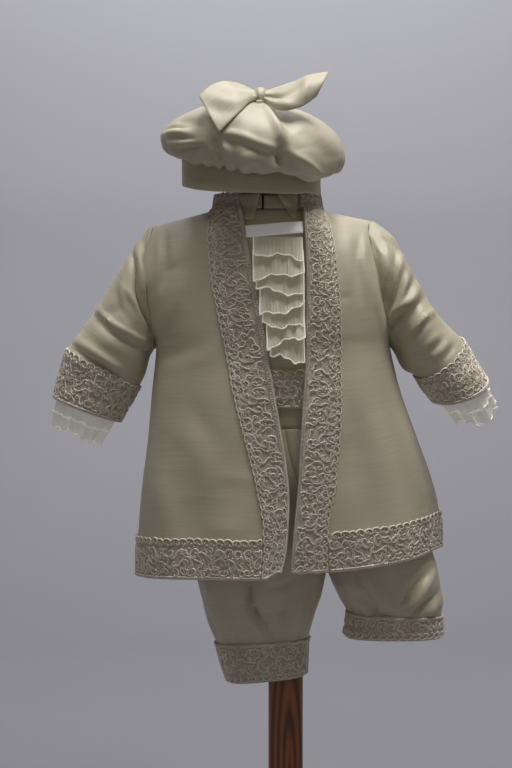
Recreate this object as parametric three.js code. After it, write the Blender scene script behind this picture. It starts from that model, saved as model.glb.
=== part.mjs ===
// A baby's christening suit, worn by a plain wooden display stand: a silk coat with corded lace down its
// fronts, round its hem and on its cuffs, a shirt with a jabot, breeches with lace cuffs, and a beret with a bow.
// Millimetres, +Z up, the suit faces -Y. "Left" and "right" are -X and +X, as seen from the front.
import * as THREE from 'three';

// ---- Driving dimensions ----
const SILK = 1.2;            // lined silk, as a wall
const LACE = 1.0;            // corded lace on net
const ORGANZA = 1.0;         // frills and jabot
const RIBBON = 1.0;
const SEAM = 0.3;            // between two pieces that are sewn together
const SLEEVE_SEAM = 1.3;     // at an armhole, where the two cloths meet at an angle
const COLLAR_CLEAR = 2.2;    // between the lace on the fronts and the stand collar
const SEATED = 0.5;          // between the stand and the cloth it carries

const BODY_CENTRE = -20;     // x of the coat's middle
const CHEST = 553;           // height of the underarms

const rad = THREE.MathUtils.degToRad;
const { lerp, clamp } = THREE.MathUtils;
const point = (x, y, z) => new THREE.Vector3(x, y, z);
const steps = (from, to, count) => Array.from({ length: count + 1 }, (_, i) => lerp(from, to, i / count));

// ---- Materials ----
const material = (color, roughness) => new THREE.MeshStandardMaterial({ color, roughness, metalness: 0 });
const silk = material(0xd9d4bf, 0.45);
const lace = material(0xb3a894, 0.7);
const organza = material(0xd6d5c9, 0.6);
const satinRibbon = material(0xdcdcd8, 0.4);
const wood = material(0x5a2f18, 0.4);

// ---- Cloth: a grid of points, rows[j][i], with outward = along a row x from row to row ----

function normalAt(rows, j, i, closed) {
  const row = rows[j];
  const count = row.length;
  const next = closed ? (i + 1) % count : Math.min(i + 1, count - 1);
  const before = closed ? (i + count - 1) % count : Math.max(i - 1, 0);
  const along = point().subVectors(row[next], row[before]);
  const across = point().subVectors(rows[Math.min(j + 1, rows.length - 1)][i], rows[Math.max(j - 1, 0)][i]);
  return along.cross(across);
}

// Every point's normal. A row drawn together into one point takes the mean of the row below it.
function normalsOf(rows, closed) {
  const normals = rows.map((row, j) => row.map((_, i) => normalAt(rows, j, i, closed)));
  const top = rows.length - 1;
  if (rows[top][0].distanceTo(rows[top][1]) < 1e-6) {
    const mean = normals[top - 1].reduce((sum, n) => sum.add(n.clone().normalize()), point(0, 0, 0));
    normals[top] = rows[top].map(() => mean.clone());
  }
  return normals.map((row) => row.map((n) => n.normalize()));
}

// The grid moved outwards, or inwards where the distance is negative.
function moved(rows, distance, closed = false) {
  const normals = normalsOf(rows, closed);
  return rows.map((row, j) => row.map((p, i) => p.clone().addScaledVector(normals[j][i], distance)));
}

// The grid with its border drawn in, so that a sewn neighbour keeps its gap.
function drawnIn(rows, { start = 0, end = 0, bottom = 0, top = 0 }) {
  const pull = (p, towards, gap) => p.addScaledVector(point().subVectors(towards, p).normalize(), gap);
  const copy = rows.map((row) => row.map((p) => p.clone()));
  const lastRow = rows.length - 1;
  const last = rows[0].length - 1;
  copy.forEach((row, j) => {
    if (start) pull(row[0], rows[j][1], start);
    if (end) pull(row[last], rows[j][last - 1], end);
  });
  for (let i = 0; i <= last; i++) {
    if (bottom) pull(copy[0][i], rows[1][i], bottom);
    if (top) pull(copy[lastRow][i], rows[lastRow - 1][i], top);
  }
  return copy;
}

// One closed solid between an outer and an inner grid. A triangle drawn together into an edge is left out.
function solidBetween(outer, inner, closed) {
  const across = outer[0].length;
  const up = outer.length;
  const points = [...outer.flat(), ...inner.flat()];
  const keys = points.map((p) => p.toArray().map((value) => value.toFixed(4)).join());
  const id = (layer, j, i) => (layer * up + j) * across + (i % across);
  const index = [];
  const triangle = (a, b, c) => {
    if (keys[a] !== keys[b] && keys[b] !== keys[c] && keys[a] !== keys[c]) index.push(a, b, c);
  };
  const quad = (a, b, c, d) => {
    triangle(a, b, c);
    triangle(a, c, d);
  };
  const columns = closed ? across : across - 1;
  for (let i = 0; i < columns; i++) {
    for (let j = 0; j < up - 1; j++) {
      quad(id(0, j, i), id(0, j, i + 1), id(0, j + 1, i + 1), id(0, j + 1, i));
      quad(id(1, j, i), id(1, j + 1, i), id(1, j + 1, i + 1), id(1, j, i + 1));
    }
    quad(id(0, 0, i + 1), id(0, 0, i), id(1, 0, i), id(1, 0, i + 1));
    quad(id(0, up - 1, i), id(0, up - 1, i + 1), id(1, up - 1, i + 1), id(1, up - 1, i));
  }
  if (!closed) {
    const last = across - 1;
    for (let j = 0; j < up - 1; j++) {
      quad(id(0, j, 0), id(0, j + 1, 0), id(1, j + 1, 0), id(1, j, 0));
      quad(id(0, j + 1, last), id(0, j, last), id(1, j, last), id(1, j + 1, last));
    }
  }
  const geometry = new THREE.BufferGeometry().setFromPoints(points);
  geometry.setIndex(index);
  geometry.computeVertexNormals();
  return geometry;
}

const wall = (rows, thickness, closed = false) =>
  solidBetween(moved(rows, thickness / 2, closed), moved(rows, -thickness / 2, closed), closed);

// What is sewn on top of a cloth: that cloth's own points, moved out past it.
const laidOn = (rows, thickness, closed = false) =>
  wall(moved(rows, SILK / 2 + SEAM + thickness / 2, closed), thickness, closed);

function piece(group, name, geometry, finish) {
  const mesh = new THREE.Mesh(geometry, finish);
  mesh.name = name;
  group.add(mesh);
  return mesh;
}

// A closed curve like an ellipse, squarer where power is over 2.
function ovalPoint(angle, power) {
  const bend = (value) => Math.sign(value) * Math.abs(value) ** (2 / power);
  return [bend(Math.cos(angle)), bend(Math.sin(angle))];
}

// ---- The coat's body ----
// One row for each height below the underarms. left and right are the sides' x, front and back the depths,
// edge and lace the x of a front's edge and of its lace band's other edge, seam the degrees by which the
// right side seam comes forward, and droop the share of the uneven hem.
const BODY_ROWS = [
  { z: 313, droop: 1.00, left: -157, right: 162, front: 86, back: 84, power: 2.5, seam: 24,
    leftEdge: -6, leftLace: -27, rightEdge: 4, rightLace: 43 },
  { z: 334, droop: 0.95, left: -157, right: 162, front: 85, back: 83, power: 2.5, seam: 24,
    leftEdge: -1, leftLace: -25, rightEdge: 5, rightLace: 42 },
  { z: 356, droop: 0.85, left: -156, right: 160, front: 84, back: 82, power: 2.5, seam: 24,
    leftEdge: 1, leftLace: -25, rightEdge: 7, rightLace: 43 },
  { z: 400, droop: 0.45, left: -152, right: 152, front: 81, back: 78, power: 2.6, seam: 24,
    leftEdge: 2, leftLace: -31, rightEdge: 11, rightLace: 50 },
  { z: 452, droop: 0.10, left: -146, right: 138, front: 77, back: 71, power: 2.7, seam: 20,
    leftEdge: -4, leftLace: -43, rightEdge: 14, rightLace: 55 },
  { z: 500, droop: 0.00, left: -141, right: 122, front: 72, back: 64, power: 2.9, seam: 9,
    leftEdge: -12, leftLace: -55, rightEdge: 17, rightLace: 57 },
  { z: CHEST, droop: 0.00, left: -136, right: 109, front: 66, back: 57, power: 3.2, seam: 0,
    leftEdge: -21, leftLace: -65, rightEdge: 20, rightLace: 57 },
];
// Above the underarms, rise runs from 0 there to 1 at the shoulder seams and the neckline. armhole is how
// far round from the side its edge lies, in degrees.
const SHOULDER_ROWS = [
  { rise: 0.06, left: -139, right: 109, power: 3.3, armhole: 12,
    leftEdge: -23, leftLace: -68, rightEdge: 20, rightLace: 57 },
  { rise: 0.18, left: -147, right: 108, power: 3.5, armhole: 22,
    leftEdge: -28, leftLace: -73, rightEdge: 20.5, rightLace: 56 },
  { rise: 0.33, left: -156, right: 104, power: 3.8, armhole: 27,
    leftEdge: -34, leftLace: -79, rightEdge: 20.5, rightLace: 54 },
  { rise: 0.50, left: -158, right: 99, power: 4.0, armhole: 28,
    leftEdge: -39, leftLace: -81, rightEdge: 19.5, rightLace: 50 },
  { rise: 0.68, left: -155, right: 94, power: 4.0, armhole: 27,
    leftEdge: -43, leftLace: -81, rightEdge: 18, rightLace: 45 },
  { rise: 0.85, left: -149, right: 92, power: 4.0, armhole: 20,
    leftEdge: -45.5, leftLace: -80, rightEdge: 17.5, rightLace: 41 },
  { rise: 1.00, left: -143, right: 92, power: 4.0, armhole: 0,
    leftEdge: -47, leftLace: -77, rightEdge: 17.5, rightLace: 39 },
];
const HEM = { left: -1, leftFront: 1, rightFront: 7, right: 28, back: 3 };   // the hem's rise above its row
const NECK = { x: -19, halfWidth: 58, front: 50, back: 42, z: 694, backRise: 9 };
const SHOULDER_TIP = { left: { x: -143, z: 678 }, right: { x: 92, z: 684 } };
const NECK_ANGLE = 66;       // degrees round from the side where a shoulder seam meets the neckline

// How much a row lies above its own height at an angle round the body.
function hemRise(angle, droop = 0) {
  const side = Math.cos(angle) ** 2;
  const across = Math.cos(angle) < 0 ? HEM.left : HEM.right;
  const front = Math.cos(angle) < 0 ? HEM.leftFront : HEM.rightFront;
  const middle = Math.sin(angle) < 0 ? front : HEM.back;
  return droop * lerp(middle, across, side);
}

function section(row, angle, depths = row) {
  const centre = row.centre ?? BODY_CENTRE;
  const [across, deep] = ovalPoint(angle, row.power);
  const side = across < 0 ? centre - row.left : row.right - centre;
  return [centre + side * across, deep * (deep < 0 ? depths.front : depths.back)];
}

// The shoulder seams and the neckline as one closed line round the body, or inside it for a garment worn under.
function topLine(angle, power, inside) {
  const fromSide = Math.asin(Math.abs(Math.sin(angle))) * 180 / Math.PI;
  const isLeft = Math.cos(angle) < 0;
  const tip = isLeft ? SHOULDER_TIP.left : SHOULDER_TIP.right;
  const halfWidth = NECK.halfWidth - inside;
  const neckX = NECK.x + (isLeft ? -1 : 1) * halfWidth;
  if (fromSide <= NECK_ANGLE) {
    const share = (degrees) => 1 - Math.cos(rad(degrees)) ** (2 / power);
    const along = share(fromSide) / share(NECK_ANGLE);
    return point(lerp(tip.x, neckX, along), 0, lerp(tip.z, NECK.z, along) - inside);
  }
  const round = (fromSide - NECK_ANGLE) / (90 - NECK_ANGLE) * Math.PI / 2;
  const isFront = Math.sin(angle) < 0;
  return point(
    NECK.x + (isLeft ? -1 : 1) * halfWidth * Math.cos(round),
    (isFront ? inside - NECK.front : NECK.back - inside) * Math.sin(round),
    NECK.z - inside + (isFront ? 0 : NECK.backRise * Math.sin(round) ** 2),
  );
}

// A point of the coat or the shirt: row is one of its rows, angle runs anticlockwise seen from above.
function bodyPoint(row, angle, chest, inside = 0) {
  if (row.rise === undefined) {
    const [x, y] = section(row, angle);
    return point(x, y, row.z + hemRise(angle, row.droop));
  }
  const [x, y] = section(row, angle, chest);
  const top = topLine(angle, row.power, inside);
  const turn = row.rise * Math.PI / 2;
  return point(
    lerp(x, top.x, row.rise ** 3),
    lerp(top.y, y, Math.cos(turn)),
    lerp(chest.z, top.z, Math.sin(turn)),
  );
}

// The angle on a row's front at which the cloth reaches x.
function frontAngle(row, x, chest) {
  let low = rad(-172);
  let high = rad(-8);
  for (let i = 0; i < 40; i++) {
    const middle = (low + high) / 2;
    if (bodyPoint(row, middle, chest).x < x) low = middle;
    else high = middle;
  }
  return (low + high) / 2;
}

const coatChest = BODY_ROWS.at(-1);
const coatRows = [...BODY_ROWS, ...SHOULDER_ROWS];
const armholeOf = (row) => rad(row.armhole ?? 0);
const onCoat = (row) => (angle) => bodyPoint(row, angle, coatChest);
const FRONT_CELLS = 5;       // between the side seam and the lace band
const BAND_CELLS = 3;        // across a front's lace band
const BACK_CELLS = 4;        // between a side and the neckline
const NECK_CELLS = 8;        // along the neckline
const HEM_ROWS = 3;          // rows under the hem's lace
const CHEST_ROW = BODY_ROWS.length - 1;

const leftFront = coatRows.map((row) => {
  const laceEdge = frontAngle(row, row.leftLace, coatChest);
  const side = steps(-Math.PI + armholeOf(row), laceEdge, FRONT_CELLS);
  const band = steps(laceEdge, frontAngle(row, row.leftEdge, coatChest), BAND_CELLS);
  return [...side, ...band.slice(1)].map(onCoat(row));
});
const rightFront = coatRows.map((row) => {
  const laceEdge = frontAngle(row, row.rightLace, coatChest);
  const band = steps(frontAngle(row, row.rightEdge, coatChest), laceEdge, BAND_CELLS);
  const side = steps(laceEdge, -armholeOf(row) - rad(row.seam ?? 0), FRONT_CELLS);
  return [...band, ...side.slice(1)].map(onCoat(row));
});
// Angles from one side to the other, with a step at each end of the neckline.
function acrossBody(from, to, sideCells) {
  const corner = rad(Math.sign(from + to) * NECK_ANGLE);
  const corners = corner > 0 ? [corner, Math.PI - corner] : [-Math.PI - corner, corner];
  return [...steps(from, corners[0], sideCells), ...steps(...corners, NECK_CELLS).slice(1),
    ...steps(corners[1], to, sideCells).slice(1)];
}
const back = coatRows.map((row) =>
  acrossBody(armholeOf(row) - rad(row.seam ?? 0), Math.PI - armholeOf(row), BACK_CELLS).map(onCoat(row)));

const sewn = { start: SEAM / 2, end: SEAM / 2, top: 0.4 };
const columnsOf = (rows, from, to) => rows.map((row) => row.slice(from, to));

const coat = new THREE.Group();
piece(coat, 'coat_front_left', wall(drawnIn(leftFront, sewn), SILK), silk);
piece(coat, 'coat_front_right', wall(drawnIn(rightFront, sewn), SILK), silk);
piece(coat, 'coat_back', wall(drawnIn(back, sewn), SILK), silk);

const laceGap = { start: SEAM, end: SEAM, top: SEAM };
const hemBand = (rows, from, to) => columnsOf(rows.slice(0, HEM_ROWS), from, to);
const laceBand = (name, rows, gap = laceGap) => piece(coat, name, laidOn(drawnIn(rows, gap), LACE), lace);
laceBand('lace_front_left', columnsOf(leftFront, FRONT_CELLS), { ...laceGap, top: COLLAR_CLEAR });
laceBand('lace_front_right', columnsOf(rightFront, 0, BAND_CELLS + 1), { ...laceGap, top: COLLAR_CLEAR });
laceBand('lace_hem_left', hemBand(leftFront, 0, FRONT_CELLS + 1));
laceBand('lace_hem_right', hemBand(rightFront, BAND_CELLS));
laceBand('lace_hem_back', hemBand(back, 0));

// The stand collar: a strip of lace round the neck, open at the front.
const COLLAR = { height: 17.5, lean: 3, from: -54, to: 240 };
const NECK_STEP = 22.5;      // degrees between the points of a strip round the neck

// The angles of a strip round the neck, open at the front between its two ends.
function roundNeck(from, to) {
  const first = Math.ceil(from / NECK_STEP + 0.2) * NECK_STEP;
  const angles = [from];
  for (let angle = first; angle < to - 0.2 * NECK_STEP; angle += NECK_STEP) angles.push(angle);
  return [...angles, to].map(rad);
}
const collarRows = [0, 0.5, 1].map((share) =>
  roundNeck(COLLAR.from, COLLAR.to).map((angle) => {
    const isFront = Math.sin(angle) < 0;
    const reach = 1 - share * COLLAR.lean / NECK.halfWidth;
    return point(
      NECK.x + NECK.halfWidth * reach * Math.cos(angle),
      (isFront ? NECK.front : NECK.back) * reach * Math.sin(angle),
      NECK.z + SILK + share * COLLAR.height + (isFront ? 0 : NECK.backRise * Math.sin(angle) ** 2),
    );
  }));
piece(coat, 'coat_collar', wall(collarRows, LACE), lace);

// ---- Sleeves ----
// One row for each section from the cuff's edge up: its left and right ends, its middle's y, half its depth,
// and tip, how far its front is pushed on towards the hand. The lace cuff covers the first CUFF_ROWS rows.
const CUFF_ROWS = 3;
const LEFT_SLEEVE = [
  { leftX: -243, leftZ: 498, rightX: -176, rightZ: 473, y: -8, depth: 36, tip: 2 },
  { leftX: -236, leftZ: 525, rightX: -165, rightZ: 492, y: -7, depth: 38, tip: 2 },
  { leftX: -228, leftZ: 551, rightX: -155, rightZ: 511, y: -6, depth: 40, tip: 2 },
  { leftX: -211, leftZ: 573, rightX: -150, rightZ: 520, y: -5, depth: 43, tip: 2 },
  { leftX: -194, leftZ: 600, rightX: -147, rightZ: 529, y: -4, depth: 44, tip: 1 },
  { leftX: -179, leftZ: 626, rightX: -145, rightZ: 538, y: -3, depth: 43, tip: 0 },
  { leftX: -165, leftZ: 648, rightX: -142, rightZ: 547, y: -3, depth: 41, tip: 0 },
];
const RIGHT_SLEEVE = [
  { leftX: 155, leftZ: 496, rightX: 211, rightZ: 516, y: -12, depth: 36, tip: 12 },
  { leftX: 145, leftZ: 509, rightX: 197, rightZ: 539, y: -10, depth: 38, tip: 12 },
  { leftX: 137, leftZ: 521, rightX: 183, rightZ: 561, y: -8, depth: 39, tip: 11 },
  { leftX: 126, leftZ: 527, rightX: 162, rightZ: 583, y: -6, depth: 41, tip: 7 },
  { leftX: 121, leftZ: 533, rightX: 146, rightZ: 606, y: -4, depth: 42, tip: 4 },
  { leftX: 118, leftZ: 540, rightX: 132, rightZ: 632, y: -3, depth: 42, tip: 2 },
  { leftX: 114.5, leftZ: 547, rightX: 117, rightZ: 660, y: -3, depth: 40, tip: 0 },
];

// Halfway points put in between the points of a ring.
const doubled = (ring) => ring.flatMap((p, i) => [p, p.clone().lerp(ring[(i + 1) % ring.length], 0.5)]);

// The armhole's edge, a little way out, from the -X end round by the front.
function armhole(frontEdge, backEdge, isLeft) {
  const frontLine = frontEdge.slice(CHEST_ROW);
  const backLine = backEdge.slice(CHEST_ROW + 1, -1);
  const loop = isLeft ? [...frontLine.toReversed(), ...backLine] : [...frontLine, ...backLine.toReversed()];
  const out = point(isLeft ? -SLEEVE_SEAM : SLEEVE_SEAM, 0, 0);
  return doubled(loop).map((p) => p.add(out));
}

function sleeveRing(row, count) {
  const leftEnd = point(row.leftX, row.y, row.leftZ);
  const rightEnd = point(row.rightX, row.y, row.rightZ);
  const middle = leftEnd.clone().lerp(rightEnd, 0.5);
  const half = rightEnd.clone().sub(middle);
  const onward = point(half.z, 0, -half.x).normalize();
  return Array.from({ length: count }, (_, i) => {
    const angle = Math.PI + i / count * 2 * Math.PI;
    return middle.clone().addScaledVector(half, Math.cos(angle))
      .add(point(0, row.depth * Math.sin(angle), 0))
      .addScaledVector(onward, -row.tip * Math.sin(angle));
  });
}

function sleeveGrid(table, armholeRing) {
  return [...table.map((row) => sleeveRing(row, armholeRing.length)), armholeRing];
}

const column = (rows, i) => rows.map((row) => row.at(i));
const leftSleeve = sleeveGrid(LEFT_SLEEVE, armhole(column(leftFront, 0), column(back, -1), true));
const rightSleeve = sleeveGrid(RIGHT_SLEEVE, armhole(column(rightFront, -1), column(back, 0), false));

// A gathered frill hung inside the end of a tube: waves is its number of folds, length what hangs below.
const FRILL = { tuck: 7, length: 27, waves: 7, depth: 3.4 };
function frillGrid(tube, from, phase) {
  const inner = moved(tube, -(SILK / 2 + SEAM + ORGANZA / 2) - 0.9, true).slice(0, 2);
  const count = inner[0].length;
  const shares = [-FRILL.tuck / FRILL.length, 0.4, 1];
  return shares.toReversed().map((share) => inner[0].map((edge, i) => {
    const angle = i / count * 2 * Math.PI;
    const down = point().subVectors(edge, inner[1][i]).normalize();
    const out = point().subVectors(edge, from).projectOnPlane(down).normalize();
    const reach = Math.max(share, 0);
    const fold = FRILL.depth * reach ** 0.7 * Math.sin(FRILL.waves * angle + phase);
    const length = FRILL.length * (share + 0.14 * reach * Math.sin(3 * angle + phase));
    return edge.clone().addScaledVector(down, length).addScaledVector(out, 4 * reach + fold - 1.2 * reach ** 0.2);
  }));
}
const centreOf = (ring) => ring.reduce((sum, p) => sum.add(p), point(0, 0, 0)).divideScalar(ring.length);

for (const [name, tube, phase] of [['left', leftSleeve, 0.6], ['right', rightSleeve, 2.2]]) {
  piece(coat, `sleeve_${name}`, wall(tube, SILK, true), silk);
  piece(coat, `lace_cuff_${name}`, laidOn(tube.slice(0, CUFF_ROWS), LACE, true), lace);
  piece(coat, `cuff_frill_${name}`, wall(frillGrid(tube, centreOf(tube[0]), phase), ORGANZA, true), organza);
}

// ---- The shirt, sleeveless under the coat, and the waistband over it ----
const SHIRT_INSIDE = 1.9;    // from the coat's cloth to the shirt's at the shoulders
const SHIRT_ROWS = [
  { z: 466, centre: -2, left: -97, right: 93, front: 60, back: 52, power: 2.5 },
  { z: 487, centre: -3, left: -99, right: 94, front: 61, back: 52, power: 2.5 },
  { z: 507, centre: -5, left: -104, right: 95, front: 62, back: 52.5, power: 2.6 },
  { z: 527, centre: -9, left: -113, right: 98, front: 62.5, back: 53, power: 2.8 },
  { z: CHEST, centre: -20, left: -131, right: 104, front: 62.5, back: 53, power: 3.2 },
];
const shirtChest = SHIRT_ROWS.at(-1);
const shirtRows = [...SHIRT_ROWS, ...SHOULDER_ROWS.map((row) => ({
  ...row,
  power: 3.2 - 0.2 * row.rise,
  left: row.left + 6,
  right: row.right - 4,
}))];
const SHIRT_CELLS = 3;
const onShirt = (row) => (angle) => bodyPoint(row, angle, shirtChest, SHIRT_INSIDE);
const shirtFront = shirtRows.map((row) =>
  acrossBody(-Math.PI + armholeOf(row), -armholeOf(row), SHIRT_CELLS).map(onShirt(row)));
const shirtBack = shirtRows.map((row) =>
  acrossBody(armholeOf(row), Math.PI - armholeOf(row), SHIRT_CELLS).map(onShirt(row)));

const shirt = new THREE.Group();
piece(shirt, 'shirt_front', wall(drawnIn(shirtFront, sewn), SILK), silk);
piece(shirt, 'shirt_back', wall(drawnIn(shirtBack, sewn), SILK), silk);

const BAND_ROWS = 4;         // rows of the shirt that the waistband covers
const around = (front, behind) => front.map((row, j) => [...row.slice(0, -1), ...behind[j].slice(0, -1)]);
const waistLoop = around(shirtFront, shirtBack).slice(0, BAND_ROWS);
const waistband = moved(waistLoop, SILK + SEAM, true);
const breeches = new THREE.Group();
piece(breeches, 'waistband', wall(waistband, SILK, true), silk);
piece(breeches, 'lace_waist', laidOn(waistband.slice(1), LACE, true), lace);

// How far forward a front lies at x and z.
function depthAt(grid, x, z) {
  const line = grid.map((row) => {
    const next = clamp(row.findIndex((p) => p.x > x), 1, row.length - 1);
    const share = (x - row[next - 1].x) / (row[next].x - row[next - 1].x);
    return row[next - 1].clone().lerp(row[next], share);
  });
  const above = clamp(line.findIndex((p) => p.z > z), 1, line.length - 1);
  const share = clamp((z - line[above - 1].z) / (line[above].z - line[above - 1].z), 0, 1);
  return lerp(line[above - 1].y, line[above].y, share);
}

// The jabot's frills: from and to are their ends' x, top the seam's height, left and right the hems' heights,
// out how far the hem stands off the shirt.
const JABOT = [
  { from: -34, to: 16, top: 663, left: 646, right: 640, out: 7, phase: 0.4 },
  { from: -34.5, to: 17, top: 650, left: 618, right: 626, out: 9, phase: 1.9 },
  { from: -31, to: 17.5, top: 633, left: 609, right: 603, out: 8, phase: 3.1 },
  { from: -27, to: 18, top: 615, left: 581, right: 591, out: 9, phase: 4.0 },
  { from: -24, to: 18, top: 599, left: 572, right: 570, out: 8, phase: 5.2 },
  { from: -20.5, to: 18, top: 583, left: 549, right: 561, out: 9, phase: 0.9 },
  { from: -17, to: 17.5, top: 566, left: 541, right: 534, out: 8, phase: 2.4 },
];
const JABOT_CELLS = 10;
const JABOT_WAVES = 2.5;
JABOT.forEach((frill, k) => {
  const rows = [1, 0.5, 0].map((share) => steps(0, 1, JABOT_CELLS).map((across) => {
    const x = lerp(frill.from, frill.to, across);
    const wave = Math.sin(JABOT_WAVES * 2 * Math.PI * across + frill.phase);
    const z = lerp(frill.top, lerp(frill.left, frill.right, across) - 2 * wave, share);
    const out = SILK / 2 + SEAM + ORGANZA / 2 + 0.4 + share * (frill.out + 2 * wave);
    return point(x, depthAt(shirtFront, x, z) - out, z);
  }));
  piece(shirt, `jabot_frill_${k + 1}`, wall(rows, ORGANZA), organza);
});

// The shirt's collar: a band standing round the neck, and two points that turn down at the front.
const NECKBAND = { height: 14, lean: 3, from: -87, to: 267 };
const neckInside = (axis) => NECK[axis] - SHIRT_INSIDE;
const neckbandRows = [0, 1].map((share) =>
  roundNeck(NECKBAND.from, NECKBAND.to).map((angle) => {
    const isFront = Math.sin(angle) < 0;
    const reach = 1 - share * NECKBAND.lean / NECK.halfWidth;
    return point(
      NECK.x + neckInside('halfWidth') * reach * Math.cos(angle),
      neckInside(isFront ? 'front' : 'back') * reach * Math.sin(angle),
      neckInside('z') + 1.2 + share * NECKBAND.height + (isFront ? 0 : NECK.backRise * Math.sin(angle) ** 2),
    );
  }));
piece(shirt, 'shirt_neckband', wall(neckbandRows, SILK), silk);

// How far forward the neckline runs at x, for a neckline of this half width and depth.
const neckDepth = (x, halfWidth, depth) => -depth * Math.sqrt(1 - ((x - NECK.x) / halfWidth) ** 2);
const COLLAR_POINTS = {
  left: { top: [-44.5, -27], bottom: [-37.5, -33.5], topZ: 707, bottomZ: 684 },
  right: { top: [-8, 11.5], bottom: [6, 9.5], topZ: 707, bottomZ: 689 },
};
for (const [name, flap] of Object.entries(COLLAR_POINTS)) {
  const rows = [0, 0.5, 1].map((share) => steps(0, 1, 4).map((across) => {
    const x = lerp(lerp(...flap.bottom, across), lerp(...flap.top, across), share);
    const z = lerp(flap.bottomZ, flap.topZ, share);
    const front = z < neckInside('z')
      ? depthAt(shirtFront, x, z)
      : neckDepth(x, neckInside('halfWidth'), neckInside('front'));
    return point(x, front - 2.2, z);
  }));
  piece(shirt, `shirt_collar_${name}`, wall(rows, SILK), silk);
}

// The ribbon that ties the fronts together.
const TIE = { from: -45.4, to: 16.9, height: 13, z: 666, slope: 6, cells: 8 };
const tieRows = [0, 0.5, 1].map((share) => steps(0, 1, TIE.cells).map((across) => {
  const x = lerp(TIE.from, TIE.to, across);
  const z = TIE.z + TIE.slope * across + TIE.height * share;
  return point(x, depthAt(shirtFront, x, z) - 2.2, z);
}));
piece(coat, 'neck_ribbon', wall(tieRows, RIBBON), satinRibbon);

// ---- Breeches ----
// Rows from the waistband down to the fork: seam is the x of the middle seams, left and right the sides' x,
// front and back the depths, span how far round each panel runs: 90 degrees on the body, 180 on a leg.
const SEAT_ROWS = [
  { z: 318, seam: 43, left: -96, right: 159, front: 54, back: 52, power: 2.6, span: 180 },
  { z: 338, seam: 37, left: -99, right: 154, front: 57, back: 55, power: 2.6, span: 145 },
  { z: 364, seam: 28, left: -102, right: 147, front: 60, back: 57, power: 2.6, span: 120 },
  { z: 396, seam: 16, left: -105, right: 135, front: 63, back: 58, power: 2.6, span: 102 },
  { z: 430, seam: 5, left: -104, right: 118, front: 64, back: 57, power: 2.6, span: 93 },
  { z: 465.8, seam: -2, left: -98.5, right: 94.5, front: 61.5, back: 53.5, power: 2.5, span: 90 },
];
// Rows of each leg from its cuff up: slope is how much higher the cloth lies on the +X side.
const LEFT_LEG = [
  { z: 199, slope: 8, left: -60, right: 20.8, front: 38, back: 37, power: 3 },
  { z: 219, slope: 6, left: -67, right: 21.6, front: 39, back: 38, power: 3 },
  { z: 240, slope: 6, left: -73, right: 22.8, front: 40, back: 39, power: 2.9 },
  { z: 263, slope: 3, left: -82.5, right: 29, front: 45, back: 43, power: 2.7 },
  { z: 291, slope: 0, left: -91, right: 38, front: 50, back: 48, power: 2.6 },
];
const RIGHT_LEG = [
  { z: 246, slope: 0, left: 63, right: 164.5, front: 43, back: 42, power: 2.6 },
  { z: 259, slope: -1, left: 65, right: 164.5, front: 44, back: 43, power: 2.6 },
  { z: 272, slope: -3, left: 66.5, right: 163.5, front: 45, back: 44, power: 2.6 },
  { z: 285, slope: 0, left: 59, right: 165, front: 50, back: 48, power: 2.6 },
  { z: 301, slope: 0, left: 50, right: 163, front: 53, back: 51, power: 2.6 },
];
const LEG_CELLS = 6;
const LEG_LACE_ROWS = 3;

function legRow(row, isLeft, isFront) {
  const span = rad(row.span ?? 180);
  const inset = row.seam === undefined ? 0 : -Math.cos(span) * SILK / 2;
  const inner = row.seam === undefined ? (isLeft ? row.right : row.left) : row.seam + (isLeft ? -inset : inset);
  const outer = isLeft ? row.left : row.right;
  const [spanX] = ovalPoint(span, row.power);
  const half = Math.abs(outer - inner) / (1 - spanX);
  const centre = outer + (isLeft ? half : -half);
  const middle = isLeft ? Math.PI : 0;
  const range = isLeft === isFront ? [middle, middle + span] : [middle - span, middle];
  return steps(...range, LEG_CELLS).map((angle) => {
    const [across, deep] = ovalPoint(angle, row.power);
    const x = centre + half * across;
    const slope = (row.slope ?? 0) * clamp((x - row.left) / (row.right - row.left), 0, 1);
    return point(x, deep * (isFront ? row.front : row.back), row.z + slope);
  });
}

for (const [name, legRows, isLeft] of [['left', LEFT_LEG, true], ['right', RIGHT_LEG, false]]) {
  const rows = [...legRows, ...SEAT_ROWS];
  const front = rows.map((row) => legRow(row, isLeft, true));
  const behind = rows.map((row) => legRow(row, isLeft, false));
  piece(breeches, `breeches_front_${name}`, wall(drawnIn(front, sewn), SILK), silk);
  piece(breeches, `breeches_back_${name}`, wall(drawnIn(behind, sewn), SILK), silk);
  const cuff = around(front, behind).slice(0, LEG_LACE_ROWS);
  piece(breeches, `lace_leg_${name}`, laidOn(cuff, LACE, true), lace);
}

// ---- Cap ----
// Rows from the band's lower edge to the crown's middle: reach is how far the cloth stands out from the
// head, left and right the heights at the sides, tip how far the front hangs below them.
const CAP = { x: -36.6, halfWidth: 73, halfDepth: 76, around: 24 };
const CAP_BAND = [
  { reach: 0, left: 722, right: 717, tip: 11 },
  { reach: 0, left: 740, right: 729, tip: 10 },
  { reach: 0, left: 757, right: 741, tip: 9 },
];
const CAP_CROWN = [
  { reach: 1.4, left: 758, right: 742, tip: 9 },
  { reach: 9, left: 754, right: 736, tip: 12 },
  { reach: 19, left: 759, right: 736, tip: 13 },
  { reach: 25, left: 775, right: 750, tip: 12.5 },
  { reach: 18, left: 793, right: 771, tip: 10 },
  { reach: 4, left: 803, right: 786, tip: 7 },
  { reach: -19, left: 809, right: 799, tip: 4 },
  { reach: -46, left: 812, right: 807, tip: 2 },
  { reach: -CAP.halfWidth, left: 811, right: 811, tip: 0 },
];
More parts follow.
